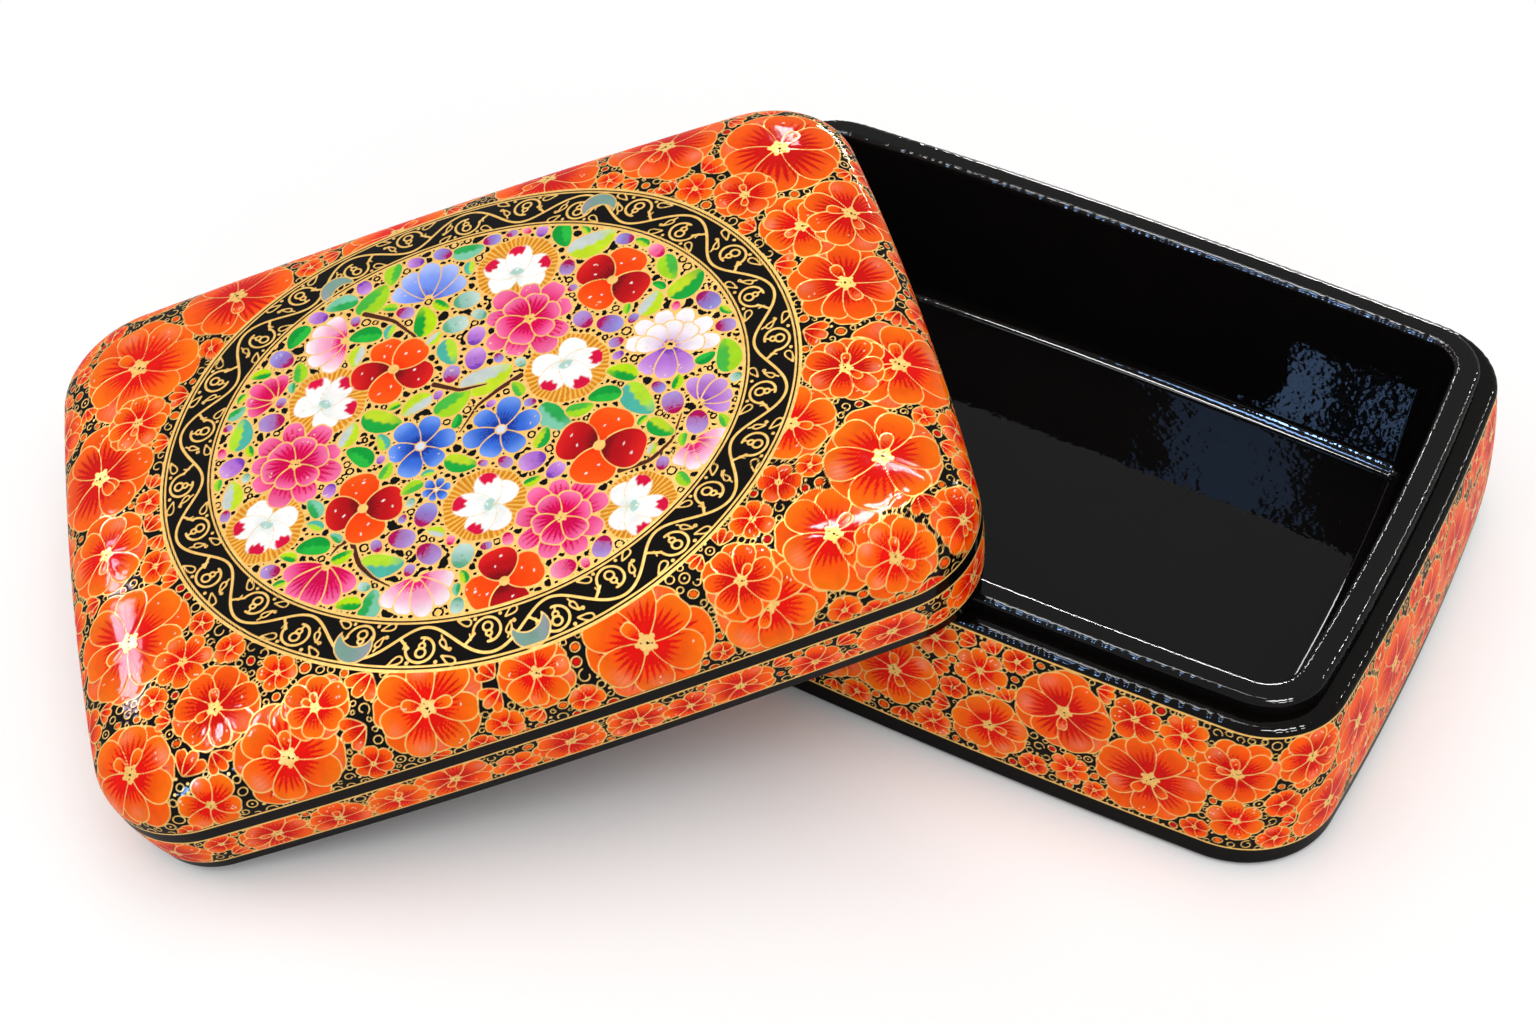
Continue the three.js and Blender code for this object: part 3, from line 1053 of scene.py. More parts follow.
    def stem(self, route: Sequence[tuple[float, float]], width: float, height: float) -> None:
        """Paints one brown stem, drawn through places of the lid's plan and tapered.

        Args:
            route: Places along it, thick end first.
            width: Half width at the thick end.
            height: Height of the lid's top.
        """
        places = np.array(route)
        at = np.linspace(0.0, len(places) - 1.0, 60)
        order = np.arange(len(places))
        line = np.column_stack([np.interp(at, order, places[:, 0]), np.interp(at, order, places[:, 1])])
        for _ in range(8):
            line[1:-1] = 0.5 * line[1:-1] + 0.25 * (line[2:] + line[:-2])
        middle = line.mean(0)
        centre = self.canvas.nearest(np.array([middle[0], middle[1], height]), DomeArea.FIELD.value)
        patch = self.canvas.patch(self.canvas.site(centre, 0.0), 14.0)
        origin = self.canvas.points[centre][:2]
        gap_x = patch.x[:, None] + origin[0] - line[None, :, 0]
        gap_y = patch.y[:, None] + origin[1] - line[None, :, 1]
        gap = np.hypot(gap_x, gap_y)
        near = gap.argmin(1)
        taper = width * (1.0 - 0.6 * near / len(line))
        patch.lay(gap.min(1) - taper, linear(Ink.STEM.value), 0.1, 0.02)


class DomeArea(Enum):
    """Painted areas of the lid's dome."""

    GARDEN = 1
    FIELD = 2
    SCROLL = 3


@dataclass(frozen=True)
class Fill:
    """How a ground is filled between large motifs: sizes in mm at which one kind gives way to the next."""

    largest: float = 6.2
    blossoms: float = 2.4
    buds: float = 1.4
    largest_ring: float = 1.15
    rings: float = 0.36
    spare: float = 0.24


def fill_ground(painter: Painter, area: int, fill: Fill) -> None:
    """Fills the free room of an area with blossoms, then buds, rings and dots, largest first.

    Args:
        painter: The painter at work.
        area: The area to fill.
        fill: Sizes at which one kind of motif gives way to the next.
    """
    canvas = painter.canvas
    members = np.flatnonzero(canvas.area == area)
    for site, room in painter.gaps(members, fill.blossoms):
        size = min(room, fill.largest) * painter.rng.uniform(0.9, 1.0)
        painter.paint(Motif.ORANGE, site, size * 1.05)
        canvas.claim(site.centre, size + fill.spare, room + 0.5)
    canvas.measure_room(area, fill.blossoms)
    for site, room in painter.gaps(members, fill.rings):
        size = room * painter.rng.uniform(0.9, 1.0)
        if size > fill.buds and painter.rng.random() < 0.75:
            painter.small_blossom(site, size * 1.05)
        else:
            size = min(size, fill.largest_ring * painter.rng.uniform(0.6, 1.0))
            painter.filigree(site, size)
        canvas.claim(site.centre, size + fill.spare, room + 0.5)


def scatter_blossoms(painter: Painter, area: int, sizes: tuple[float, float], tries: int, lap: float) -> None:
    """Throws large blossoms over an area wherever they lap little over the others.

    Args:
        painter: The painter at work.
        area: The area to fill.
        sizes: Smallest and largest radius.
        tries: Number of throws.
        lap: Share of a blossom's radius that may lap over others or over the border.
    """
    canvas = painter.canvas
    members = np.flatnonzero(canvas.area == area)
    for share in np.linspace(1.0, 0.0, tries):
        size = sizes[0] + (sizes[1] - sizes[0]) * share * painter.rng.uniform(0.8, 1.0)
        point = int(members[painter.rng.integers(len(members))])
        if canvas.room[point] > size * (1.0 - lap):
            site = canvas.site(point, painter.rng.uniform(0.0, FULL_TURN))
            painter.paint(Motif.ORANGE, site, size)
            canvas.claim(site.centre, size * 0.97, 12.0)


@dataclass(frozen=True)
class LidPose:
    """Where the lid leans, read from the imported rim."""

    matrix: np.ndarray

    @classmethod
    def from_node(cls, node: bpy.types.Object) -> "LidPose":
        """Finds the lid's own axes from the even spread of the rim's corners.

        Args:
            node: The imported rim, which is alike on both sides of both plan axes.

        Returns:
            The pose, with its origin at the middle of the rim's foot.
        """
        corners = np.array([vertex.co for vertex in node.data.vertices]) / MM
        corners = np.unique(np.round(corners, 3), axis=0)
        middle = corners.mean(0)
        _, vectors = np.linalg.eigh(np.cov((corners - middle).T))
        long_axis = vectors[:, 2] * (1.0 if vectors[0, 2] > 0.0 else -1.0)
        up_axis = vectors[:, 0] * (1.0 if vectors[2, 0] > 0.0 else -1.0)
        matrix = np.eye(4)
        matrix[:3, :3] = np.column_stack([long_axis, np.cross(up_axis, long_axis), up_axis])
        matrix[:3, 3] = middle + up_axis * ((corners - middle) @ up_axis).min()
        return cls(matrix)

    def local_box(self, node: bpy.types.Object) -> tuple[np.ndarray, np.ndarray]:
        """Lowest and highest corner of a node along the lid's own axes, in millimetres.

        Args:
            node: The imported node.

        Returns:
            The two corners.
        """
        corners = np.array([vertex.co for vertex in node.data.vertices]) / MM
        local = (corners - self.matrix[:3, 3]) @ self.matrix[:3, :3]
        return local.min(0), local.max(0)


@dataclass(frozen=True)
class Border:
    """A gold ruling line: its height and its half width."""

    height: float
    half_width: float = 0.17


def rule_lines(canvas: Canvas, borders: Sequence[Border]) -> None:
    """Rules gold lines at given heights round a canvas, with a slight unsteadiness of the hand.

    Args:
        canvas: The canvas.
        borders: The lines.
    """
    angle = np.arctan2(canvas.points[:, 1], canvas.points[:, 0])
    sway = 0.06 * np.sin(9.0 * angle) + 0.04 * np.sin(31.0 * angle + 1.0)
    slant = np.maximum(np.hypot(canvas.normals[:, 0], canvas.normals[:, 1]), 0.3)
    for border in borders:
        gap = np.abs(canvas.points[:, 2] - border.height) / slant + sway * border.half_width
        canvas.gilt = np.minimum(canvas.gilt, gap - border.half_width)


@dataclass
class BaseHalf:
    """The base: painted outer wall, bottom board, lining with its collar, and floor card."""

    outline: SeamOutline
    shoulder_top: float
    collar_top: float
    collar_outside: float
    floor_top: float
    board_top: float
    board_edge: float
    fineness: float
    foot_flare: float = 2.9
    foot_edge: float = 1.2
    foot_band: float = 4.4
    shoulder_round: float = 1.2
    wall_bow: float = 1.8
    wall_inside: float = -3.47
    rebate_inside: float = -1.7
    collar_inside: float = -8.1
    collar_outer_round: float = 1.0
    collar_inner_round: float = 1.2
    cavity_foot: float = -11.4
    cove_radius: float = 2.6
    board_chamfer: float = 0.4
    glue_gap: float = 0.3
    card_gap: float = 0.03
    board_ease: float = 0.1
    ridge_height: float = 0.03
    point_spacing: float = 0.2
    band_steps: int = 300
    lining_steps: int = 160

    def dressed(self, painted: bpy.types.Material, black: bpy.types.Material) -> list[bpy.types.Object]:
        """Builds the pieces of the base and dresses them.

        Args:
            painted: Finish of the wall.
            black: Finish of the other pieces.

        Returns:
            The wall, the lining, the floor card and the board.
        """
        pieces = [self.build_wall(), self.build_lining(), self.build_floor(), self.build_board()]
        dress(pieces[0], "base", "base_wall", painted)
        for piece, node in zip(pieces[1:], ("base_lining", "base_floor", "base_board")):
            dress(piece, "base", node, black)
        return pieces

    def build_wall(self) -> bpy.types.Object:
        """Builds and paints the outer wall.

        Returns:
            The wall.
        """
        band_top = self.shoulder_top - self.shoulder_round
        share = np.linspace(0.0, 1.0, 60)
        side = np.column_stack([
            self.foot_flare * (1.0 - share ** self.wall_bow),
            self.foot_band + share * (band_top - self.foot_band),
        ])
        outer = np.concatenate([
            arc(self.foot_flare - self.foot_edge, self.foot_edge, self.foot_edge, -90.0, 0.0, 10),
            side,
            arc(-self.shoulder_round, band_top, self.shoulder_round, 0.0, 90.0, 10)[1:],
        ])
        lining_seat = self.board_top + self.glue_gap
        hidden = np.array([
            [self.wall_inside * 0.6, self.shoulder_top], [self.wall_inside, self.shoulder_top],
            [self.wall_inside, lining_seat], [self.rebate_inside, lining_seat], [self.rebate_inside, 0.0],
        ])
        spacing = self.point_spacing / self.fineness
        band = Band(self.outline, respaced(outer, spacing), hidden, int(self.band_steps * self.fineness))
        shell = band.shell()
        rows = np.concatenate([band.painted, band.hidden])
        weight = ease(rows[:, 1], band_top + 0.2, band_top + 0.6) * (rows[:, 0] > self.wall_inside * 0.8)
        band.ridge(shell, weight, self.ridge_height, SEED + 4)
        canvas = band.canvas(shell)
        height = canvas.points[:, 2]
        canvas.area[(height > self.foot_band) & (height < band_top)] = FLOWERED
        canvas.room = np.minimum(height - self.foot_band, band_top - height) + 0.25
        painter = Painter(canvas, SEED, 0.7)
        for along, rise, size in FRONT_BLOSSOMS:
            point = canvas.nearest(np.array([along, -self.outline.half_width, rise]), FLOWERED)
            site = canvas.site(point, painter.rng.uniform(0.0, FULL_TURN))
            painter.paint(Motif.ORANGE, site, size)
            canvas.claim(site.centre, size, 14.0)
        scatter_blossoms(painter, FLOWERED, (4.2, 9.2), 2600, 0.32)
        fill_ground(painter, FLOWERED, Fill())
        rule_lines(canvas, (Border(self.foot_band), Border(band_top)))
        return shell.to_object("base_wall_painted", np.eye(4), canvas)

    def build_lining(self) -> bpy.types.Object:
        """Builds the lining, its collar rounded over and its foot coved.

        Returns:
            The lining.
        """
        seat = self.board_top + self.glue_gap
        toe = self.cavity_foot - self.cove_radius
        outer = arc(self.collar_outside - self.collar_outer_round, self.collar_top - self.collar_outer_round,
                    self.collar_outer_round, 0.0, 90.0, 12)
        inner = arc(self.collar_inside + self.collar_inner_round, self.collar_top - self.collar_inner_round,
                    self.collar_inner_round, 90.0, 180.0, 12)
        cove = arc(toe, self.floor_top + self.cove_radius, self.cove_radius, 0.0, -90.0, 16)
        shoulder = np.array([self.collar_outside, self.shoulder_top - 1.0])
        section = np.concatenate([
            [[self.collar_outside, seat]], respaced(np.array([shoulder, outer[0]]), 0.4), outer[1:],
            respaced(np.array([outer[-1], inner[0]]), 0.4)[1:], inner[1:],
            respaced(np.array([inner[-1], cove[0]]), 1.0)[1:], cove[1:], [[toe, seat]],
        ])
        band = Band(self.outline, section[:-1], section[-1:], int(self.lining_steps * self.fineness))
        shell = band.shell()
        weight = ease(section[:, 1], self.collar_top - 2.2, self.collar_top - 1.2)
        band.ridge(shell, weight, self.ridge_height, SEED + 3)
        return shell.to_object("base_lining_lacquered", np.eye(4), None)

    def build_plate(self, name: str, section: np.ndarray) -> bpy.types.Object:
        """Builds a plate from the section of its edge, underside first.

        Args:
            name: Name of the piece.
            section: Rows of offset and height from the underside to the top.

        Returns:
            The plate.
        """
        grid = PillowGrid(24)
        edge = grid.edge()
        plan, normal = self.outline.around(grid.turn)
        share = (grid.ring / grid.steps)[:, None]
        loops = []
        for grow, height in section[1:-1]:
            rim_plan, rim_normal = self.outline.around(np.arange(len(edge)) / grid.steps)
            flat = rim_plan + grow * rim_normal
            loops.append(np.column_stack([flat, np.full(len(flat), height)]))
        sheets = []
        for grow, height in (section[0], section[-1]):
            flat = (plan + grow * normal) * share
            sheets.append(np.column_stack([flat, np.full(len(flat), height)]))
        count = len(grid.ring)
        points = np.concatenate([*sheets, *loops])
        chain = [edge]
        for k in range(len(loops)):
            chain.append(2 * count + k * len(edge) + np.arange(len(edge)))
        chain.append(edge + count)
        quads = [grid.quads()[:, ::-1], grid.quads() + count]
        for low, high in zip(chain[:-1], chain[1:]):
            quads.append(np.column_stack([low, np.roll(low, -1), np.roll(high, -1), high]))
        faces = np.concatenate(quads)
        spot = np.concatenate([grid.spot * [0.48, 0.9], grid.spot * [0.48, 0.9] + [0.5, 0.0]])
        spread = np.linspace(0.01, 0.99, len(edge))
        loop_spots = [np.column_stack([spread, np.full(len(edge), 0.95)]) for _ in loops]
        spot = np.concatenate([spot, *loop_spots])
        return Shell(points, faces, spot[faces]).to_object(name, np.eye(4), None)

    def build_floor(self) -> bpy.types.Object:
        """Builds the floor card, cut to the toe of the cove.

        Returns:
            The card.
        """
        edge = self.cavity_foot - self.cove_radius - self.card_gap
        seat = self.board_top + self.glue_gap
        section = np.array([[edge, seat], [edge, self.floor_top - 0.02], [edge, self.floor_top]])
        return self.build_plate("base_floor_lacquered", section)

    def build_board(self) -> bpy.types.Object:
        """Builds the bottom board with its eased edge.

        Returns:
            The board.
        """
        edge = self.board_edge
        section = np.array([
            [edge - self.board_chamfer, 0.0], [edge, self.board_chamfer],
            [edge, self.board_top - self.board_ease], [edge - self.board_ease, self.board_top],
        ])
        return self.build_plate("base_board_lacquered", section)


# Blossoms on the front of the base: place along it, height and radius in mm
FRONT_BLOSSOMS = (
    (2.0, 15.0, 7.6), (16.0, 22.0, 4.6), (30.5, 20.5, 8.2), (19.0, 11.5, 6.8), (46.0, 13.5, 9.2),
    (58.5, 21.0, 6.8), (60.0, 11.0, 4.6), (41.5, 24.6, 4.4), (49.5, 25.0, 4.0), (33.0, 9.0, 3.6),
)

# Leaves of the medallion: place from the middle of the lid, radius in mm and facing in degrees
FIELD_LEAVES = (
    (25, 27, 4.4, 10), (38, 11.5, 3.8, 30), (3, 5.5, 4.6, 8), (-3, 3, 3.6, 25), (-15, 4, 3.8, -35),
    (25.5, -8.5, 4.0, -70), (12, -6.5, 3.7, -60), (-19, -24, 3.8, -20), (41, -5.5, 3.6, 80),
    (-12.5, 30.5, 3.8, 40), (-38, 11, 3.4, 70), (-5, 22, 3.4, 80), (-22, -30.5, 3.0, 60),
)

# Blossoms of the medallion in the order of painting, laid in the same way
FIELD_BLOSSOMS = (
    (Motif.FAN, ((12, 27, 7.0, 76), (16, 2.5, 7.0, -74), (-23, 12, 6.8, 36), (-36.5, -9.5, 6.6, -124),
                 (-1.5, -19, 6.8, 156), (21.5, -28.5, 6.2, -14))),
    (Motif.PINK, ((12, 15, 8.4, 0), (-30, 1.3, 8.3, 0), (9.5, -26, 7.7, 0))),
    (Motif.HALF_PINK, ((-29, -23, 5.6, -124),)),
    (Motif.HALF_BLUSH, ((-21, 24, 5.4, 170),)),
    (Motif.HALF_PINK, ((-33, 17.5, 4.2, 130),)),
    (Motif.HALF_BLUSH, ((33, -22, 4.4, -70), (-14, -31, 5.4, -90))),
    (Motif.CROSS, ((26.5, 17.5, 7.0, 0), (-11.5, 14, 7.3, 0), (18, -15, 7.6, 0), (-20.5, -12, 6.7, 0),
                   (-1, -34, 6.4, 0))),
    (Motif.HALF_SKY, ((-3, 29.5, 6.0, 80),)),
    (Motif.BLUE, ((3.5, -5.5, 6.3, 0), (-9.5, -3.5, 6.0, 0), (-8.5, -13, 2.6, 0))),
    (Motif.PEONY, ((32.5, 0, 8.0, 70),)),
    (Motif.HALF_LILAC, ((36.5, -12, 4.2, 30),)),
)

# Orange blossoms on the dome outside the medallion: place and radius
GARDEN_MOTIFS = (
    (62, 3, 9.6), (59, 36, 11.5), (-54, 34, 11.5), (-63, 14, 10.5), (-48, -39, 7.6), (-39, -51, 9.2),
    (-17, -50, 8.8), (0, -50, 6.2), (17, -51.5, 10.2), (36, -52, 8.6), (33, -46, 6.4), (48, -43.5, 9.2),
    (58.5, -33, 10.2), (66, -15.5, 10.0), (57.5, -14.5, 7.0), (58, 17, 7.6), (67, 18.5, 9.0), (56, -51, 7.0),
    (-60.5, -21, 11.0), (-36, 43, 11.0), (-7, 46, 10.0), (20, 48, 10.5), (-63, -2, 8.2), (47, -22.5, 7.6),
    (-33, -44, 5.6), (-64, -44, 9.0), (41, 45, 10.5), (-52, -29, 5.2), (51, 27, 5.6), (-55, 22, 6.0),
)

# Pale crescents in the scroll band: place and facing
SCROLL_SHELLS = ((-18.5, 36.0, 40.0), (27.5, 35.0, -10.0), (-25.5, -36.5, 150.0), (1.0, -43.5, 190.0))

# Stems of the medallion, thick end first
FIELD_STEMS = (
    ((-14.5, 28.0), (-10.0, 24.5), (-7.0, 19.5), (-6.5, 17.0)),
    ((8.5, 4.0), (4.8, 2.8), (0.7, 0.9), (-3.0, -3.3)),
    ((20.0, -21.0), (25.0, -21.0), (29.0, -18.5), (31.5, -14.0)),
    ((-23.0, -17.0), (-22.5, -22.5), (-20.8, -25.7), (-18.0, -28.7)),
    ((-23.0, -17.0), (-25.0, -17.6), (-26.7, -19.0)),
    ((-5.5, 8.0), (-1.6, 5.1), (2.7, 4.6)),
)


@dataclass
class LidHalf:
    """The lid: upright rim band and pillow shaped dome, painted outside and black inside."""

    outline: SeamOutline
    pose: LidPose
    joint_height: float
    dome_top: float
    rim_flare: float
    fineness: float
    edge_round: float = 0.6
    rim_inside: float = -3.2
    dome_fullness: float = 5.0
    dome_shoulder: float = 3.0
    dome_thickness: float = 3.3
    hollow_share: float = 0.985
    tongue_outside: float = -0.5
    tongue_rise: float = 1.85
    lap_inside: float = -0.2
    lap_rise: float = 2.1
    seam_gap: float = 0.01
    step_top: float = 1.75
    step_foot: float = 3.35
    foot_chamfer: float = 0.6
    foot_line: float = 2.9
    line_below: float = 11.1
    line_above: float = 14.1
    medallion: tuple[float, float] = (52.9, 46.4)
    field: tuple[float, float] = (44.0, 38.0)
    least_bud: float = 1.0
    largest_bud: float = 2.5
    least_hole: float = 0.24
    leaf_share: float = 0.42
    scroll_bays: int = 28
    point_spacing: float = 0.2
    band_steps: int = 300

    def dressed(self, painted: bpy.types.Material) -> list[bpy.types.Object]:
        """Builds the pieces of the lid and dresses them.

        Args:
            painted: Their finish.

        Returns:
            The rim and the dome.
        """
        pieces = [self.build_rim(), self.build_dome()]
        for piece, node in zip(pieces, ("lid_rim", "lid_dome")):
            dress(piece, "lid", node, painted)
        return pieces

    def build_rim(self) -> bpy.types.Object:
        """Builds and paints the rim band.

        Returns:
            The rim.
        """
        share = np.linspace(0.0, 1.0, 40)
        side = np.column_stack([
            self.rim_flare * np.sin(share * math.pi / 2.0),
            self.edge_round + share * (self.joint_height - self.seam_gap - self.edge_round),
        ])
        outer = np.concatenate([
            arc(-self.edge_round, self.edge_round, self.edge_round, -90.0, 0.0, 8)[:-1], side,
        ])
        inside = self.rim_flare - self.dome_thickness
        joint = self.joint_height
        crest = joint + self.tongue_rise
        hidden = np.array([
            [self.tongue_outside, joint - self.seam_gap], [self.tongue_outside, crest], [inside, crest],
            [inside, joint - self.step_top], [self.rim_inside, joint - self.step_foot],
            [self.rim_inside, self.foot_chamfer], [self.rim_inside + self.foot_chamfer, 0.0],
        ])
        spacing = self.point_spacing / self.fineness
        band = Band(self.outline, respaced(outer, spacing), hidden, int(self.band_steps * self.fineness))
        shell = band.shell()
        canvas = band.canvas(shell)
        height = canvas.points[:, 2]
        canvas.area[(height > self.foot_line) & (height < self.line_below)] = FLOWERED
        canvas.room = np.minimum(height - self.foot_line, self.line_below - height) + 0.25
        painter = Painter(canvas, SEED + 1, 0.7)
        scatter_blossoms(painter, FLOWERED, (3.2, 6.6), 2200, 0.42)
        fill_ground(painter, FLOWERED, Fill())
        rule_lines(canvas, (Border(self.foot_line), Border(self.line_below), Border(self.line_above)))
        return shell.to_object("lid_rim_painted", self.pose.matrix, canvas)

    def crown(self, share: np.ndarray) -> np.ndarray:
        """Height share of the dome at a share of the way out from its middle."""
        return (1.0 - share ** self.dome_fullness) ** (1.0 / self.dome_shoulder)

    def _dome_rings(self, steps: int) -> np.ndarray:
        """Shares of the way out at which rings of the dome are evenly spaced along its curve.

        Args:
            steps: Number of steps.

        Returns:
            The shares.
        """
        rise = self.dome_top - self.joint_height
        share = 1.0 - (1.0 - np.linspace(0.0, 1.0, 4000)) ** 3
        mean_reach = 0.5 * (self.outline.half_length + self.outline.half_width)
        run = np.hypot(np.diff(share) * mean_reach, np.diff(self.crown(share)) * rise)
        length = np.concatenate([[0.0], np.cumsum(run)])
        return np.interp(np.linspace(0.0, length[-1], steps + 1), length, share)

    def dome_shell(self) -> tuple[Shell, np.ndarray]:
        """Builds the dome: a fine pillow outside, a plain one inside.

        Returns:
            The shell and the normals of its outer side.
        """
        ratio = 8
        inner_grid = PillowGrid(max(20, int(42 * self.fineness)))
        grid = PillowGrid(inner_grid.steps * ratio)
        plan, normal = self.outline.around(grid.turn)
        share = self._dome_rings(grid.steps)[grid.ring]
        foot = self.joint_height + self.seam_gap
        rise = self.dome_top - foot
        flat = (plan + self.rim_flare * normal) * share[:, None]
        outer = np.column_stack([flat, foot + rise * self.crown(share)])
        cube = outer.reshape(grid.side, grid.side, 3)
        normals = np.cross(np.gradient(cube, axis=0), np.gradient(cube, axis=1)).reshape(-1, 3)
        normals = normals / np.maximum(np.linalg.norm(normals, axis=1, keepdims=True), 1e-9)
        rim_plan, rim_normal = self.outline.around(np.arange(8 * grid.steps) / grid.steps)
        lap = rim_plan + self.lap_inside * rim_normal
        levels = (foot, foot + self.lap_rise)
        loops = [np.column_stack([lap, np.full(len(lap), level)]) for level in levels]
        inner_plan, inner_normal = self.outline.around(inner_grid.turn)
        inner_share = self._dome_rings(inner_grid.steps)[inner_grid.ring] * self.hollow_share
        inside = self.rim_flare - self.dome_thickness
        inner = np.column_stack([
            (inner_plan + inside * inner_normal) * inner_share[:, None],
            foot + (rise - self.dome_thickness) * self.crown(inner_share),
        ])
        starts = np.cumsum([0, len(outer), len(loops[0]), len(loops[1])])
        edge = grid.edge()
        first = starts[1] + np.arange(len(edge))
        second = starts[2] + np.arange(len(edge))
        coarse = starts[3] + inner_grid.edge()
        quads = [grid.quads()]
        for high, low in ((edge, first), (first, second)):
            quads.append(np.column_stack([low, np.roll(low, -1), np.roll(high, -1), high]))
        quads.append(inner_grid.quads()[:, ::-1] + starts[3])
        faces = np.concatenate(quads)
        triangles = self._seam(second, coarse, ratio)
        spread = np.linspace(0.01, 0.99, len(edge))
        strips = [np.column_stack([spread, np.full(len(edge), level)]) for level in (0.985, 0.975)]
        spot = np.concatenate([grid.spot * 0.86, *strips, inner_grid.spot * [0.11, 0.86] + [0.88, 0.0]])
        points = np.concatenate([outer, *loops, inner])
        shell = Shell(points, faces, spot[faces], triangles, spot[triangles], painted=len(outer))
        return shell, normals

    @staticmethod
    def _seam(fine: np.ndarray, coarse: np.ndarray, ratio: int) -> np.ndarray:
        """Joins a fine loop to a coarse one inside it with triangles.

        Args:
            fine: Point numbers of the fine loop.
            coarse: Those of the coarse loop.
            ratio: Fine steps to a coarse one.

        Returns:
            Rows of three point numbers.
        """
        following = np.roll(coarse, -1)
        triangles = [np.column_stack([coarse, following, fine[ratio // 2::ratio]])]
        for step in range(ratio):
            here = fine[step::ratio]
            there = np.roll(fine, -1)[step::ratio]
            apex = coarse if step < ratio // 2 else following
            triangles.append(np.column_stack([apex, there, here]))
        return np.concatenate(triangles)

    def build_dome(self) -> bpy.types.Object:
        """Builds and paints the dome.

        Returns:
            The dome.
        """
        shell, normals = self.dome_shell()
        canvas = Canvas(shell.points[:shell.painted], normals, math.isqrt(shell.painted))
        outside = oval_distance(canvas.points, self.medallion)
        inside = oval_distance(canvas.points, self.field)
        slant = np.maximum(np.hypot(normals[:, 0], normals[:, 1]), 0.25)
        climb = (canvas.points[:, 2] - self.joint_height) / slant
        canvas.area[(outside > 0.0) & (climb > 0.0)] = DomeArea.GARDEN.value
        canvas.area[inside < 0.0] = DomeArea.FIELD.value
        canvas.area[(inside >= 0.0) & (outside <= 0.0)] = DomeArea.SCROLL.value
        canvas.room = np.where(inside < 0.0, -inside, np.minimum(outside, np.maximum(climb, -1.0))) + 0.2
        painter = Painter(canvas, SEED + 2, 0.3)
        self._paint_garden(painter)
        self._paint_field(painter)
        self._paint_scroll(painter, inside, outside)
        rules = ((outside, 0.24), (inside, 0.24), (outside + 0.7, 0.16), (inside - 0.7, 0.16))
        for distance, half_width in rules:
            canvas.gilt = np.minimum(canvas.gilt, np.abs(distance) - half_width)
        return shell.to_object("lid_dome_painted", self.pose.matrix, canvas)

    def _paint_garden(self, painter: Painter) -> None:
        """Paints the orange blossoms round the medallion and fills their ground.

        Args:
            painter: The painter at work.
        """
        canvas = painter.canvas
        top = self.dome_top
        for along, across, size in GARDEN_MOTIFS:
            point = canvas.nearest(np.array([along, across, top - 3.0]), DomeArea.GARDEN.value)
            site = canvas.site(point, painter.rng.uniform(0.0, FULL_TURN))
            painter.paint(Motif.ORANGE, site, size * 0.97)
            canvas.claim(site.centre, size * 0.97, 16.0)
        fill_ground(painter, DomeArea.GARDEN.value, Fill())

    def _lay(self, painter: Painter, motif: Motif, places: Sequence[tuple], share: float) -> None:
        """Paints motifs of one kind inside the medallion, at the places listed for them.

        Args:
            painter: The painter at work.
            motif: Their kind.
            places: Place in plan, radius and facing of each.
            share: Share of the radius that later motifs keep clear of.
        """
        canvas = painter.canvas
        for along, across, size, facing in places:
            point = canvas.nearest(np.array([along, across, self.dome_top]), DomeArea.FIELD.value)
            site = canvas.site(point, math.radians(facing))
            painter.paint(motif, site, size)
            canvas.claim(site.centre, size * share, 12.0)

    def _paint_field(self, painter: Painter) -> None:
        """Paints the garden of mixed flowers inside the medallion.

        Args:
            painter: The painter at work.
        """
        canvas = painter.canvas
        area = DomeArea.FIELD.value
        canvas.gilt[canvas.area == area] = -0.5
        self._lay(painter, Motif.LEAF, FIELD_LEAVES, 0.72)
        for route in FIELD_STEMS:
            painter.stem(route, 0.62, self.dome_top)
        for kind, places in FIELD_BLOSSOMS:
            self._lay(painter, kind, places, 0.98)
        members = np.flatnonzero(canvas.area == area)
        canvas.measure_room(area, 3.2)
        for site, room in painter.gaps(members, self.least_bud):
            size = min(room, self.largest_bud)
            motif = Motif.LEAF if painter.rng.random() < self.leaf_share else Motif.BUD
            painter.paint(motif, site, size * (1.2 if motif is Motif.LEAF else 0.98))
            canvas.claim(site.centre, size + 0.1, room + 0.5)
        canvas.measure_room(area, 1.2)
        for site, room in painter.gaps(members, self.least_hole):
            size = min(room * 0.98, painter.rng.uniform(0.35, 1.1))
            painter.hole(site, size)
            canvas.claim(site.centre, size * 1.04 + 0.12, room + 0.6)

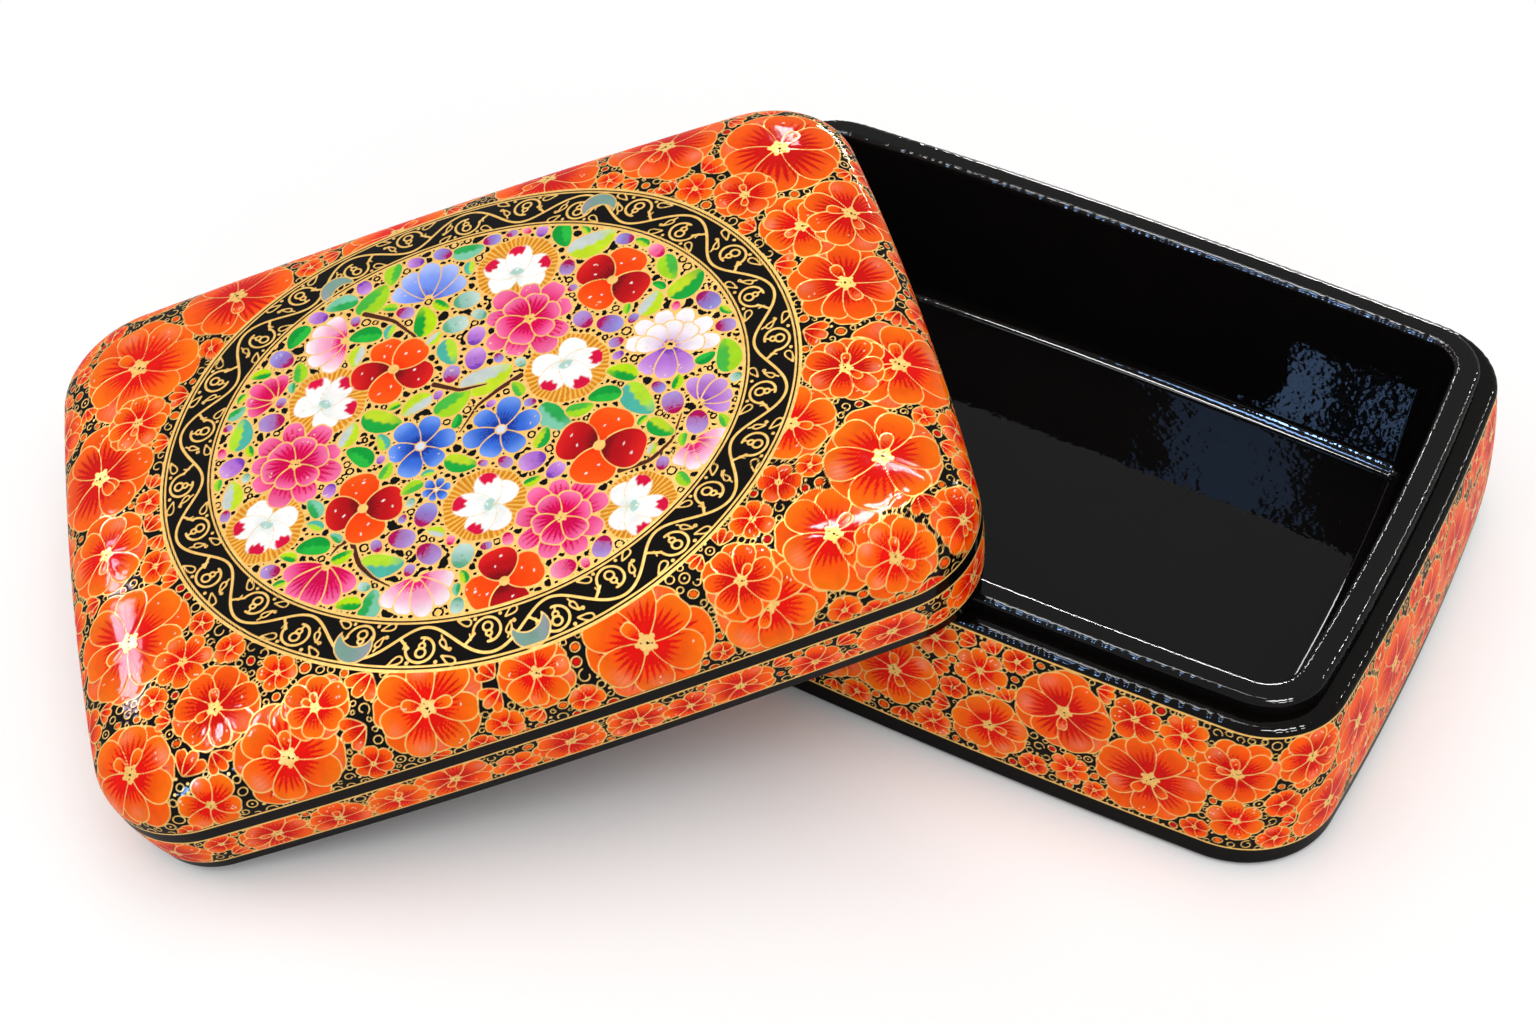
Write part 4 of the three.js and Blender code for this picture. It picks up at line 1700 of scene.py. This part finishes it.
    def _paint_scroll(self, painter: Painter, inside: np.ndarray, outside: np.ndarray) -> None:
        """Paints the gold vine that winds round the medallion, with a curl in each bend.

        Args:
            painter: The painter at work.
            inside: Distance of each point outside the field.
            outside: Distance of each point outside the medallion.
        """
        canvas = painter.canvas
        members = np.flatnonzero(canvas.area == DomeArea.SCROLL.value)
        reach = [(a + b) / 2.0 for a, b in zip(self.medallion, self.field)]
        angle = np.linspace(0.0, FULL_TURN, 2000)
        oval = np.column_stack([reach[0] * np.cos(angle), reach[1] * np.sin(angle)])
        length = np.concatenate([[0.0], np.cumsum(np.hypot(*np.diff(oval, axis=0).T))])
        spot = canvas.points[members, :2] / np.array(reach)
        place = np.arctan2(spot[:, 1], spot[:, 0]) % FULL_TURN
        along = np.interp(place, angle, length)
        across = (inside[members] + outside[members]) / 2.0
        bay = length[-1] / self.scroll_bays
        for k in range(self.scroll_bays):
            local = (along - k * bay + length[-1] / 2.0) % length[-1] - length[-1] / 2.0
            near = (local > -0.4 * bay) & (local < 1.4 * bay)
            side = 1.0 if k % 2 == 0 else -1.0
            patch = Patch(canvas, members[near], local[near] / bay * 10.0, across[near] * side)
            for line, half_width in scroll_lines(painter.rng):
                patch.gild(patch.to_line(line) - 0.84 * half_width)
        for along, across, facing in SCROLL_SHELLS:
            point = canvas.nearest(np.array([along, across, self.dome_top]), DomeArea.SCROLL.value)
            painter.shell(canvas.site(point, math.radians(facing)), 3.0)


def oval_distance(points: np.ndarray, reach: tuple[float, float]) -> np.ndarray:
    """Distance in plan outside an oval of given half axes, below zero inside it.

    Args:
        points: Rows of places.
        reach: The half axes.

    Returns:
        One distance for each row.
    """
    share = points[:, :2] / np.array(reach)
    ring = np.hypot(share[:, 0], share[:, 1])
    slope = np.hypot(share[:, 0] / reach[0], share[:, 1] / reach[1])
    return ring * (ring - 1.0) / np.maximum(slope, 1e-6)


def loop_line(x: float, y: float, radius: float, start: float, end: float, shrink: float = 0.0) -> np.ndarray:
    """A curl about a centre, from one angle to another in degrees, drawing in as it goes.

    Args:
        x: Centre along the line.
        y: Centre across it.
        radius: Radius at the start.
        start: First angle.
        end: Last angle.
        shrink: How much the radius shrinks.

    Returns:
        Rows of places.
    """
    angle = np.radians(np.linspace(start, end, 48))
    sweep = radius * (1.0 - shrink * np.linspace(0.0, 1.0, 48))
    return np.column_stack([x + sweep * np.cos(angle), y + sweep * np.sin(angle)])


def straight_line(x0: float, y0: float, x1: float, y1: float) -> np.ndarray:
    """A straight stroke."""
    return np.column_stack([np.linspace(x0, x1, 16), np.linspace(y0, y1, 16)])


def leaf_line(x: float, y: float, length: float, width: float, turn: float) -> np.ndarray:
    """The outline of a small drop shaped leaf about a centre, turned in degrees.

    Args:
        x: Centre along the line.
        y: Centre across it.
        length: Length of the leaf.
        width: Its width.
        turn: Its turn.

    Returns:
        Rows of places.
    """
    angle = np.linspace(0.0, FULL_TURN, 48)
    along = 0.5 * length * np.cos(angle)
    across = 0.5 * width * np.sin(angle) * (1.0 + 0.7 * np.cos(angle))
    lean = math.radians(turn)
    return np.column_stack([
        x + along * math.cos(lean) - across * math.sin(lean),
        y + along * math.sin(lean) + across * math.cos(lean),
    ])


def scroll_lines(rng: np.random.Generator) -> list[tuple[np.ndarray, float]]:
    """Strokes of one bay of the vine, ten units long, arching to the positive side.

    Args:
        rng: Source of small differences between bays.

    Returns:
        Lines and their half widths.
    """
    x = np.linspace(-0.2, 10.2, 90)
    vine = np.column_stack([x, 2.75 * np.sin(math.pi * x / 10.0)])
    lean = rng.uniform(-0.25, 0.25)
    hook = np.concatenate([
        straight_line(1.2, 0.95, 2.75, -0.6),
        loop_line(4.9 + lean, -0.75, 2.3, 175.0, 455.0, 0.22),
    ])
    strokes = [(vine, 0.27), (hook, 0.25)]
    strokes.append((loop_line(4.9 + lean, -1.35, 0.72, 0.0, 360.0), 0.21))
    strokes.append((loop_line(5.0 + lean, -0.25, 0.45, 0.0, 360.0), 0.2))
    strokes.append((straight_line(5.05 + lean, 0.2, 5.3 + lean, 1.0), 0.18))
    for x0, way in ((1.2, 1.0), (8.8, -1.0)):
        strokes.append((leaf_line(x0, -2.75, 2.3, 0.95, 28.0 * way + rng.uniform(-8.0, 8.0)), 0.17))
        strokes.append((loop_line(x0 + 1.75 * way, -2.95, 0.15, 0.0, 360.0), 0.17))
    strokes.append((leaf_line(8.1, -0.35, 1.9, 0.7, 118.0 + rng.uniform(-12.0, 12.0)), 0.17))
    strokes.append((straight_line(7.6, 1.2, 7.9, 0.5), 0.17))
    strokes.append((loop_line(9.0, -1.2, 0.22, 0.0, 300.0), 0.15))
    strokes.append((straight_line(2.2, 0.3, 2.0, -0.7), 0.15))
    return strokes


def add_node(tree: bpy.types.NodeTree, kind: str, settings: dict | None = None,
             links: dict | None = None) -> bpy.types.Node:
    """Adds one shader node.

    Args:
        tree: The material's node tree.
        kind: Type name of the node.
        settings: Node properties by name, and socket values by ("in", socket).
        links: Output sockets to plug into input sockets, by the input's name or number.

    Returns:
        The new node.
    """
    node = tree.nodes.new(kind)
    for name, value in (settings or {}).items():
        if isinstance(name, tuple):
            node.inputs[name[1]].default_value = value
        else:
            setattr(node, name, value)
    for name, output in (links or {}).items():
        tree.links.new(output, node.inputs[name])
    return node


def rgba(code: str) -> tuple[float, float, float, float]:
    """A hex colour as the four linear values of a colour socket."""
    return (*(float(value) for value in linear(code)), 1.0)


def new_material(name: str) -> tuple[bpy.types.Material, bpy.types.NodeTree, bpy.types.Node]:
    """Starts a material with an empty tree.

    Args:
        name: Name of the finish.

    Returns:
        The material, its tree and its output node.
    """
    material = bpy.data.materials.new(name)
    material.use_nodes = True
    material.node_tree.nodes.clear()
    output = add_node(material.node_tree, "ShaderNodeOutputMaterial")
    return material, material.node_tree, output


@dataclass(frozen=True)
class PaintedLacquer:
    """Gouache and gold paint on a black ground under clear gloss lacquer, laid by brush.

    The eye sees flat bright colour and thin gold under a wet looking coat that is not quite level.
    The coat is fainter than a real one, which would mirror a dim room and not a white one.
    """

    gold: str = "#dba038"
    gold_pale: str = "#fad488"
    gold_grain_mm: float = 0.8
    pigment_grain_mm: float = 2.2
    coat_weight: float = 0.25
    coat_roughness: float = 0.06
    coat_ior: float = 1.4
    coat_wave_mm: float = 6.0
    coat_grain_mm: float = 1.1

    def build(self) -> bpy.types.Material:
        """Builds the material.

        Returns:
            The material.
        """
        material, tree, output = new_material("painted_gloss_lacquer")
        place = add_node(tree, "ShaderNodeTexCoord").outputs["Object"]
        paint = add_node(tree, "ShaderNodeAttribute", {"attribute_name": "paint"})
        gilt = add_node(tree, "ShaderNodeAttribute", {"attribute_name": "gilt"})
        mask = add_node(
            tree, "ShaderNodeMapRange",
            {"interpolation_type": "SMOOTHSTEP", ("in", 1): 0.07, ("in", 2): -0.07},
            {0: gilt.outputs["Fac"]},
        )
        pigment = add_node(
            tree, "ShaderNodeTexNoise",
            {("in", "Scale"): 1.0 / (self.pigment_grain_mm * MM), ("in", "Detail"): 3.0}, {"Vector": place},
        )
        tone = add_node(
            tree, "ShaderNodeMapRange", {("in", 1): 0.3, ("in", 2): 0.7, ("in", 3): 0.9, ("in", 4): 1.05},
            {0: pigment.outputs["Fac"]},
        )
        shaded = add_node(
            tree, "ShaderNodeVectorMath", {"operation": "SCALE"},
            {0: paint.outputs["Color"], "Scale": tone.outputs[0]},
        )
        grain = add_node(
            tree, "ShaderNodeTexNoise",
            {("in", "Scale"): 1.0 / (self.gold_grain_mm * MM), ("in", "Detail"): 2.0}, {"Vector": place},
        )
        gold = add_node(
            tree, "ShaderNodeMix",
            {"data_type": "RGBA", ("in", 6): rgba(self.gold), ("in", 7): rgba(self.gold_pale)},
            {0: grain.outputs["Fac"]},
        )
        colour = add_node(
            tree, "ShaderNodeMix", {"data_type": "RGBA"},
            {0: mask.outputs[0], 6: shaded.outputs[0], 7: gold.outputs[2]},
        )
        metal = add_node(
            tree, "ShaderNodeMath", {"operation": "MULTIPLY", ("in", 1): 0.2}, {0: mask.outputs[0]},
        )
        rough = add_node(
            tree, "ShaderNodeMapRange", {("in", 1): 0.3, ("in", 2): 0.7, ("in", 3): 0.28, ("in", 4): 0.4},
            {0: pigment.outputs["Fac"]},
        )
        bump = coat_bump(tree, place, self.coat_wave_mm, self.coat_grain_mm, 0.08, 0.012)
        shader = add_node(
            tree, "ShaderNodeBsdfPrincipled",
            {("in", "IOR"): 1.5, ("in", "Specular IOR Level"): 0.0, ("in", "Coat Weight"): self.coat_weight,
             ("in", "Coat Roughness"): self.coat_roughness, ("in", "Coat IOR"): self.coat_ior},
            {"Base Color": colour.outputs[2], "Metallic": metal.outputs[0], "Roughness": rough.outputs[0],
             "Normal": bump, "Coat Normal": bump},
        )
        tree.links.new(shader.outputs[0], output.inputs["Surface"])
        return material


@dataclass(frozen=True)
class BlackLacquer:
    """Many thin coats of black lacquer over pasted paper, rubbed and left glossy.

    The eye sees a deep black whose sharp reflections break up along the edges, where brush marks remain.
    The coat is fainter than a real one, as on the painted pieces.
    """

    colour: str = "#0a0909"
    colour_worn: str = "#0f0d0c"
    coat_weight: float = 0.35
    coat_roughness: float = 0.03
    coat_ior: float = 1.4
    coat_wave_mm: float = 9.0
    coat_grain_mm: float = 1.6

    def build(self) -> bpy.types.Material:
        """Builds the material.

        Returns:
            The material.
        """
        material, tree, output = new_material("black_gloss_lacquer")
        place = add_node(tree, "ShaderNodeTexCoord").outputs["Object"]
        cloud = add_node(
            tree, "ShaderNodeTexNoise",
            {("in", "Scale"): 1.0 / (self.coat_wave_mm * MM), ("in", "Detail"): 4.0}, {"Vector": place},
        )
        colour = add_node(
            tree, "ShaderNodeMix",
            {"data_type": "RGBA", ("in", 6): rgba(self.colour), ("in", 7): rgba(self.colour_worn)},
            {0: cloud.outputs["Fac"]},
        )
        rough = add_node(
            tree, "ShaderNodeMapRange", {("in", 1): 0.3, ("in", 2): 0.7, ("in", 3): 0.1, ("in", 4): 0.2},
            {0: cloud.outputs["Fac"]},
        )
        bump = coat_bump(tree, place, self.coat_wave_mm, self.coat_grain_mm, 0.045, 0.015)
        shader = add_node(
            tree, "ShaderNodeBsdfPrincipled",
            {("in", "IOR"): 1.5, ("in", "Specular IOR Level"): 0.0, ("in", "Coat Weight"): self.coat_weight,
             ("in", "Coat Roughness"): self.coat_roughness, ("in", "Coat IOR"): self.coat_ior},
            {"Base Color": colour.outputs[2], "Roughness": rough.outputs[0],
             "Normal": bump, "Coat Normal": bump},
        )
        tree.links.new(shader.outputs[0], output.inputs["Surface"])
        return material


def coat_bump(tree: bpy.types.NodeTree, place: bpy.types.NodeSocket, wave_mm: float, grain_mm: float,
              wave_height_mm: float, grain_height_mm: float) -> bpy.types.NodeSocket:
    """Unevenness of a brushed coat: a slow wave and a fine grain.

    Args:
        tree: The material's node tree.
        place: Object coordinates in metres.
        wave_mm: Length of the slow wave.
        grain_mm: Length of the fine grain.
        wave_height_mm: Height of the slow wave.
        grain_height_mm: Height of the fine grain.

    Returns:
        The bent normal.
    """
    normal = None
    for length, height in ((wave_mm, wave_height_mm), (grain_mm, grain_height_mm)):
        noise = add_node(
            tree, "ShaderNodeTexNoise",
            {("in", "Scale"): 1.0 / (length * MM), ("in", "Detail"): 1.0}, {"Vector": place},
        )
        links = {"Height": noise.outputs["Fac"]}
        if normal is not None:
            links["Normal"] = normal
        bump = add_node(
            tree, "ShaderNodeBump", {("in", "Strength"): 1.0, ("in", "Distance"): height * MM}, links,
        )
        normal = bump.outputs[0]
    return normal


class Throw(Enum):
    """What a lamp panel does: light through a polarising filter leaves no glare, a glint leaves only that."""

    SOFT = "soft light"
    GLINT = "glint"
    EDGE = "glint on the base, kept off the lid by a flag"


@dataclass(frozen=True)
class Softbox:
    """A lamp panel at a place in millimetres that faces the object."""

    name: str
    place: tuple[float, float, float]
    size: tuple[float, float]
    power: float
    throw: Throw = Throw.GLINT
    colour: str = "#ffffff"


@dataclass(frozen=True)
class Studio:
    """White table, soft lamps and the camera at the photograph's angle, in millimetres and degrees."""

    target: tuple[float, float, float] = (-31.97, -33.25, 15.0)
    azimuth: float = 27.566
    elevation: float = 47.482
    distance: float = 434.7
    roll: float = 1.06
    lens: float = 60.4
    sensor: float = 36.0
    floor_half: float = 3000.0
    world_level: float = 0.08
    floor_near: float = 85.0
    floor_far: float = 185.0
    softboxes: tuple[Softbox, ...] = (
        Softbox("key", (-60.0, -150.0, 1000.0), (1500.0, 1500.0), 13.2, Throw.SOFT),
        Softbox("fill", (520.0, -760.0, 250.0), (700.0, 400.0), 1.7, Throw.SOFT),
        Softbox("right_fill", (800.0, -60.0, 230.0), (400.0, 400.0), 1.35, Throw.SOFT),
        Softbox("left_fill", (-760.0, -260.0, 260.0), (400.0, 400.0), 1.35, Throw.SOFT),
        Softbox("rear_fill", (-260.0, 820.0, 300.0), (700.0, 400.0), 1.6, Throw.SOFT),
        # Panes and strips that show only as glints
        Softbox("left_window", (-752.0, -153.0, 343.0), (110.0, 100.0), 2.2, colour="#ffdcf2"),
        Softbox("left_strip", (-432.0, -329.0, 639.0), (170.0, 50.0), 3.0, colour="#ffe4f4"),
        Softbox("blue_window", (-134.0, -700.0, 405.0), (16.0, 200.0), 3.4, colour="#8cb4ee"),
        Softbox("blue_pane", (-105.0, -700.0, 405.0), (5.0, 200.0), 1.4, colour="#8cb4ee"),
        Softbox("skylight", (-137.0, -375.0, 801.0), (40.0, 300.0), 5.0, Throw.EDGE, "#8cb4ee"),
        Softbox("overhead_strip", (-148.0, 43.0, 800.0), (300.0, 50.0), 5.6),
        Softbox("high_strip", (-130.0, 304.0, 761.0), (270.0, 25.0), 2.4),
        Softbox("right_strip", (310.0, 552.0, 537.0), (40.0, 160.0), 0.9),
        Softbox("low_strip", (-130.0, 740.0, 150.0), (270.0, 25.0), 2.4),
        Softbox("rear_strip", (-370.0, 552.0, 449.0), (60.0, 180.0), 1.8),
        # Strips that the wall and the lining of the base alone mirror, as does the skylight
        Softbox("overhead_edge", (-148.0, 43.0, 800.0), (300.0, 25.0), 7.0, Throw.EDGE),
        Softbox("high_edge", (-130.0, 304.0, 761.0), (270.0, 25.0), 15.0, Throw.EDGE),
        Softbox("low_edge", (-130.0, 704.0, 393.0), (270.0, 25.0), 15.0, Throw.EDGE),
        Softbox("right_edge", (310.0, 552.0, 537.0), (40.0, 200.0), 14.0, Throw.EDGE),
        Softbox("rear_edge", (-370.0, 552.0, 449.0), (40.0, 200.0), 12.0, Throw.EDGE),
        Softbox("corner_edge", (598.0, -340.0, 580.0), (260.0, 90.0), 9.0, Throw.EDGE),
        Softbox("corner_high", (330.0, -73.0, 834.0), (400.0, 120.0), 22.0, Throw.EDGE),
    )

    def build(self) -> None:
        """Builds camera, lamps, world and floor."""
        self._camera()
        for softbox in self.softboxes:
            self._lamp(softbox)
        self._world()
        self._floor()
        bpy.context.scene.view_settings.view_transform = "Standard"

    def _camera(self) -> None:
        """Places the camera."""
        azimuth = math.radians(self.azimuth)
        elevation = math.radians(self.elevation)
        level = math.cos(elevation)
        back = Vector((math.sin(azimuth) * level, -math.cos(azimuth) * level, math.sin(elevation)))
        right = (-back).cross(Vector((0.0, 0.0, 1.0))).normalized()
        up = right.cross(-back)
        roll = math.radians(self.roll)
        right, up = right * math.cos(roll) + up * math.sin(roll), up * math.cos(roll) - right * math.sin(roll)
        camera = bpy.data.cameras.new("camera")
        camera.lens = self.lens
        camera.sensor_width = self.sensor
        camera.clip_start = 0.01
        camera.clip_end = 20.0
        holder = bpy.data.objects.new("camera", camera)
        turn = Matrix((right, up, back)).transposed().to_4x4()
        holder.matrix_world = Matrix.Translation((Vector(self.target) + back * self.distance) * MM) @ turn
        bpy.context.scene.collection.objects.link(holder)
        bpy.context.scene.camera = holder

    def _lamp(self, softbox: Softbox) -> None:
        """Places one softbox so that it faces the object.

        Args:
            softbox: The softbox.
        """
        lamp = bpy.data.lights.new(softbox.name, "AREA")
        lamp.shape = "RECTANGLE"
        lamp.size = softbox.size[0] * MM
        lamp.size_y = softbox.size[1] * MM
        lamp.energy = softbox.power
        lamp.color = tuple(float(value) for value in linear(softbox.colour))
        holder = bpy.data.objects.new(softbox.name, lamp)
        holder.visible_glossy = softbox.throw is not Throw.SOFT
        holder.visible_diffuse = softbox.throw is Throw.SOFT
        place = Vector(softbox.place)
        turn = (place - Vector(self.target)).to_track_quat("Z", "Y").to_matrix().to_4x4()
        holder.matrix_world = Matrix.Translation(place * MM) @ turn
        bpy.context.scene.collection.objects.link(holder)

    def flag(self, pieces: Sequence[bpy.types.Object]) -> None:
        """Keeps the edge strips off everything but some pieces.

        Args:
            pieces: The pieces that may mirror the edge strips.
        """
        group = bpy.data.collections.new("edge_lit_pieces")
        for piece in pieces:
            group.objects.link(piece)
        for softbox in self.softboxes:
            if softbox.throw is Throw.EDGE:
                bpy.data.objects[softbox.name].light_linking.receiver_collection = group

    def _seen(self, tree: bpy.types.NodeTree) -> bpy.types.NodeSocket:
        """Tells the rays that see the white backdrop: from the camera, off gloss and through glass.

        Args:
            tree: The node tree of the world or of the table.

        Returns:
            One for such a ray and nought for any other.
        """
        path = add_node(tree, "ShaderNodeLightPath")
        seen = path.outputs["Is Camera Ray"]
        for kind in ("Is Glossy Ray", "Is Transmission Ray"):
            more = add_node(
                tree, "ShaderNodeMath", {"operation": "MAXIMUM"}, {0: seen, 1: path.outputs[kind]},
            )
            seen = more.outputs[0]
        return seen

    def _world(self) -> None:
        """Lights the room softly, with a backdrop that is plain white where it is seen."""
        world = bpy.data.worlds.new("room")
        world.use_nodes = True
        tree = world.node_tree
        tree.nodes.clear()
        level = add_node(
            tree, "ShaderNodeMapRange", {("in", 3): self.world_level, ("in", 4): 1.0}, {0: self._seen(tree)},
        )
        glow = add_node(
            tree, "ShaderNodeBackground", {("in", "Color"): rgba("#ffffff")}, {"Strength": level.outputs[0]},
        )
        add_node(tree, "ShaderNodeOutputWorld", links={"Surface": glow.outputs[0]})
        bpy.context.scene.world = world

    def _floor(self) -> None:
        """Lays the table, which keeps the object's shadow and turns plain white further away."""
        half = self.floor_half * MM
        mesh = bpy.data.meshes.new("table")
        corners = [(-half, -half, 0.0), (half, -half, 0.0), (half, half, 0.0), (-half, half, 0.0)]
        mesh.from_pydata(corners, [], [(0, 1, 2, 3)])
        table = bpy.data.objects.new("table", mesh)
        bpy.context.scene.collection.objects.link(table)
        material, tree, output = new_material("white_table")
        seen = self._seen(tree)
        clean = add_node(
            tree, "ShaderNodeMix",
            {"data_type": "RGBA", ("in", 6): rgba("#f4f4f4"), ("in", 7): rgba("#ffffff")}, {0: seen},
        )
        paper = add_node(tree, "ShaderNodeBsdfDiffuse", links={"Color": clean.outputs[2]})
        place = add_node(tree, "ShaderNodeTexCoord").outputs["Object"]
        offset = add_node(
            tree, "ShaderNodeVectorMath",
            {"operation": "DISTANCE", ("in", 1): Vector(self.target) * MM}, {0: place},
        )
        level = add_node(
            tree, "ShaderNodeMapRange",
            {"interpolation_type": "SMOOTHSTEP",
             ("in", 1): self.floor_near * MM, ("in", 2): self.floor_far * MM},
            {0: offset.outputs["Value"]},
        )
        share = add_node(tree, "ShaderNodeMath", {"operation": "MULTIPLY"}, {0: level.outputs[0], 1: seen})
        glow = add_node(tree, "ShaderNodeEmission", {("in", "Color"): rgba("#ffffff")})
        both = add_node(
            tree, "ShaderNodeMixShader", links={0: share.outputs[0], 1: paper.outputs[0], 2: glow.outputs[0]},
        )
        tree.links.new(both.outputs[0], output.inputs["Surface"])
        table.data.materials.append(material)


def node_box(name: str) -> tuple[np.ndarray, np.ndarray]:
    """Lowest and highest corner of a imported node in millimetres."""
    low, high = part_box(name)
    return np.array(low) / MM, np.array(high) / MM


def dress(piece: bpy.types.Object, body: str, node: str, material: bpy.types.Material) -> None:
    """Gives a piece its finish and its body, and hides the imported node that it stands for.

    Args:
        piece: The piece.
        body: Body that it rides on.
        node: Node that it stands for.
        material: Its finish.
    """
    piece.data.materials.append(material)
    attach(piece, body)
    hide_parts(node)


def main() -> None:
    """Builds the studio and the two halves of the box in order."""
    logging.basicConfig(level=logging.INFO, format="%(name)s: %(message)s")
    fineness = 1.0
    studio = Studio()
    studio.build()
    painted = PaintedLacquer().build()
    black = BlackLacquer().build()
    wall = node_box("base_wall")
    lining = node_box("base_lining")
    board = node_box("base_board")
    flare = BaseHalf.foot_flare
    outline = SeamOutline(wall[1][0] - flare, wall[1][1] - flare)
    base = BaseHalf(
        outline, shoulder_top=wall[1][2], collar_top=lining[1][2],
        collar_outside=lining[1][0] - outline.half_length, floor_top=node_box("base_floor")[1][2],
        board_top=board[1][2], board_edge=board[1][0] - outline.half_length, fineness=fineness,
    )
    pieces = base.dressed(painted, black)
    studio.flag(pieces[:2])
    pose = LidPose.from_node(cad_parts["lid_rim"])
    rim = pose.local_box(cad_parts["lid_rim"])
    dome = pose.local_box(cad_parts["lid_dome"])
    lid = LidHalf(
        outline, pose, joint_height=dome[0][2] - base.glue_gap / 2.0, dome_top=dome[1][2],
        rim_flare=rim[1][0] - outline.half_length, fineness=fineness,
    )
    pieces += lid.dressed(painted)
    for piece in pieces:
        log.info("%s has %d points", piece.name, len(piece.data.vertices))
    bpy.context.view_layer.update()


if __name__ == "__main__":
    main()
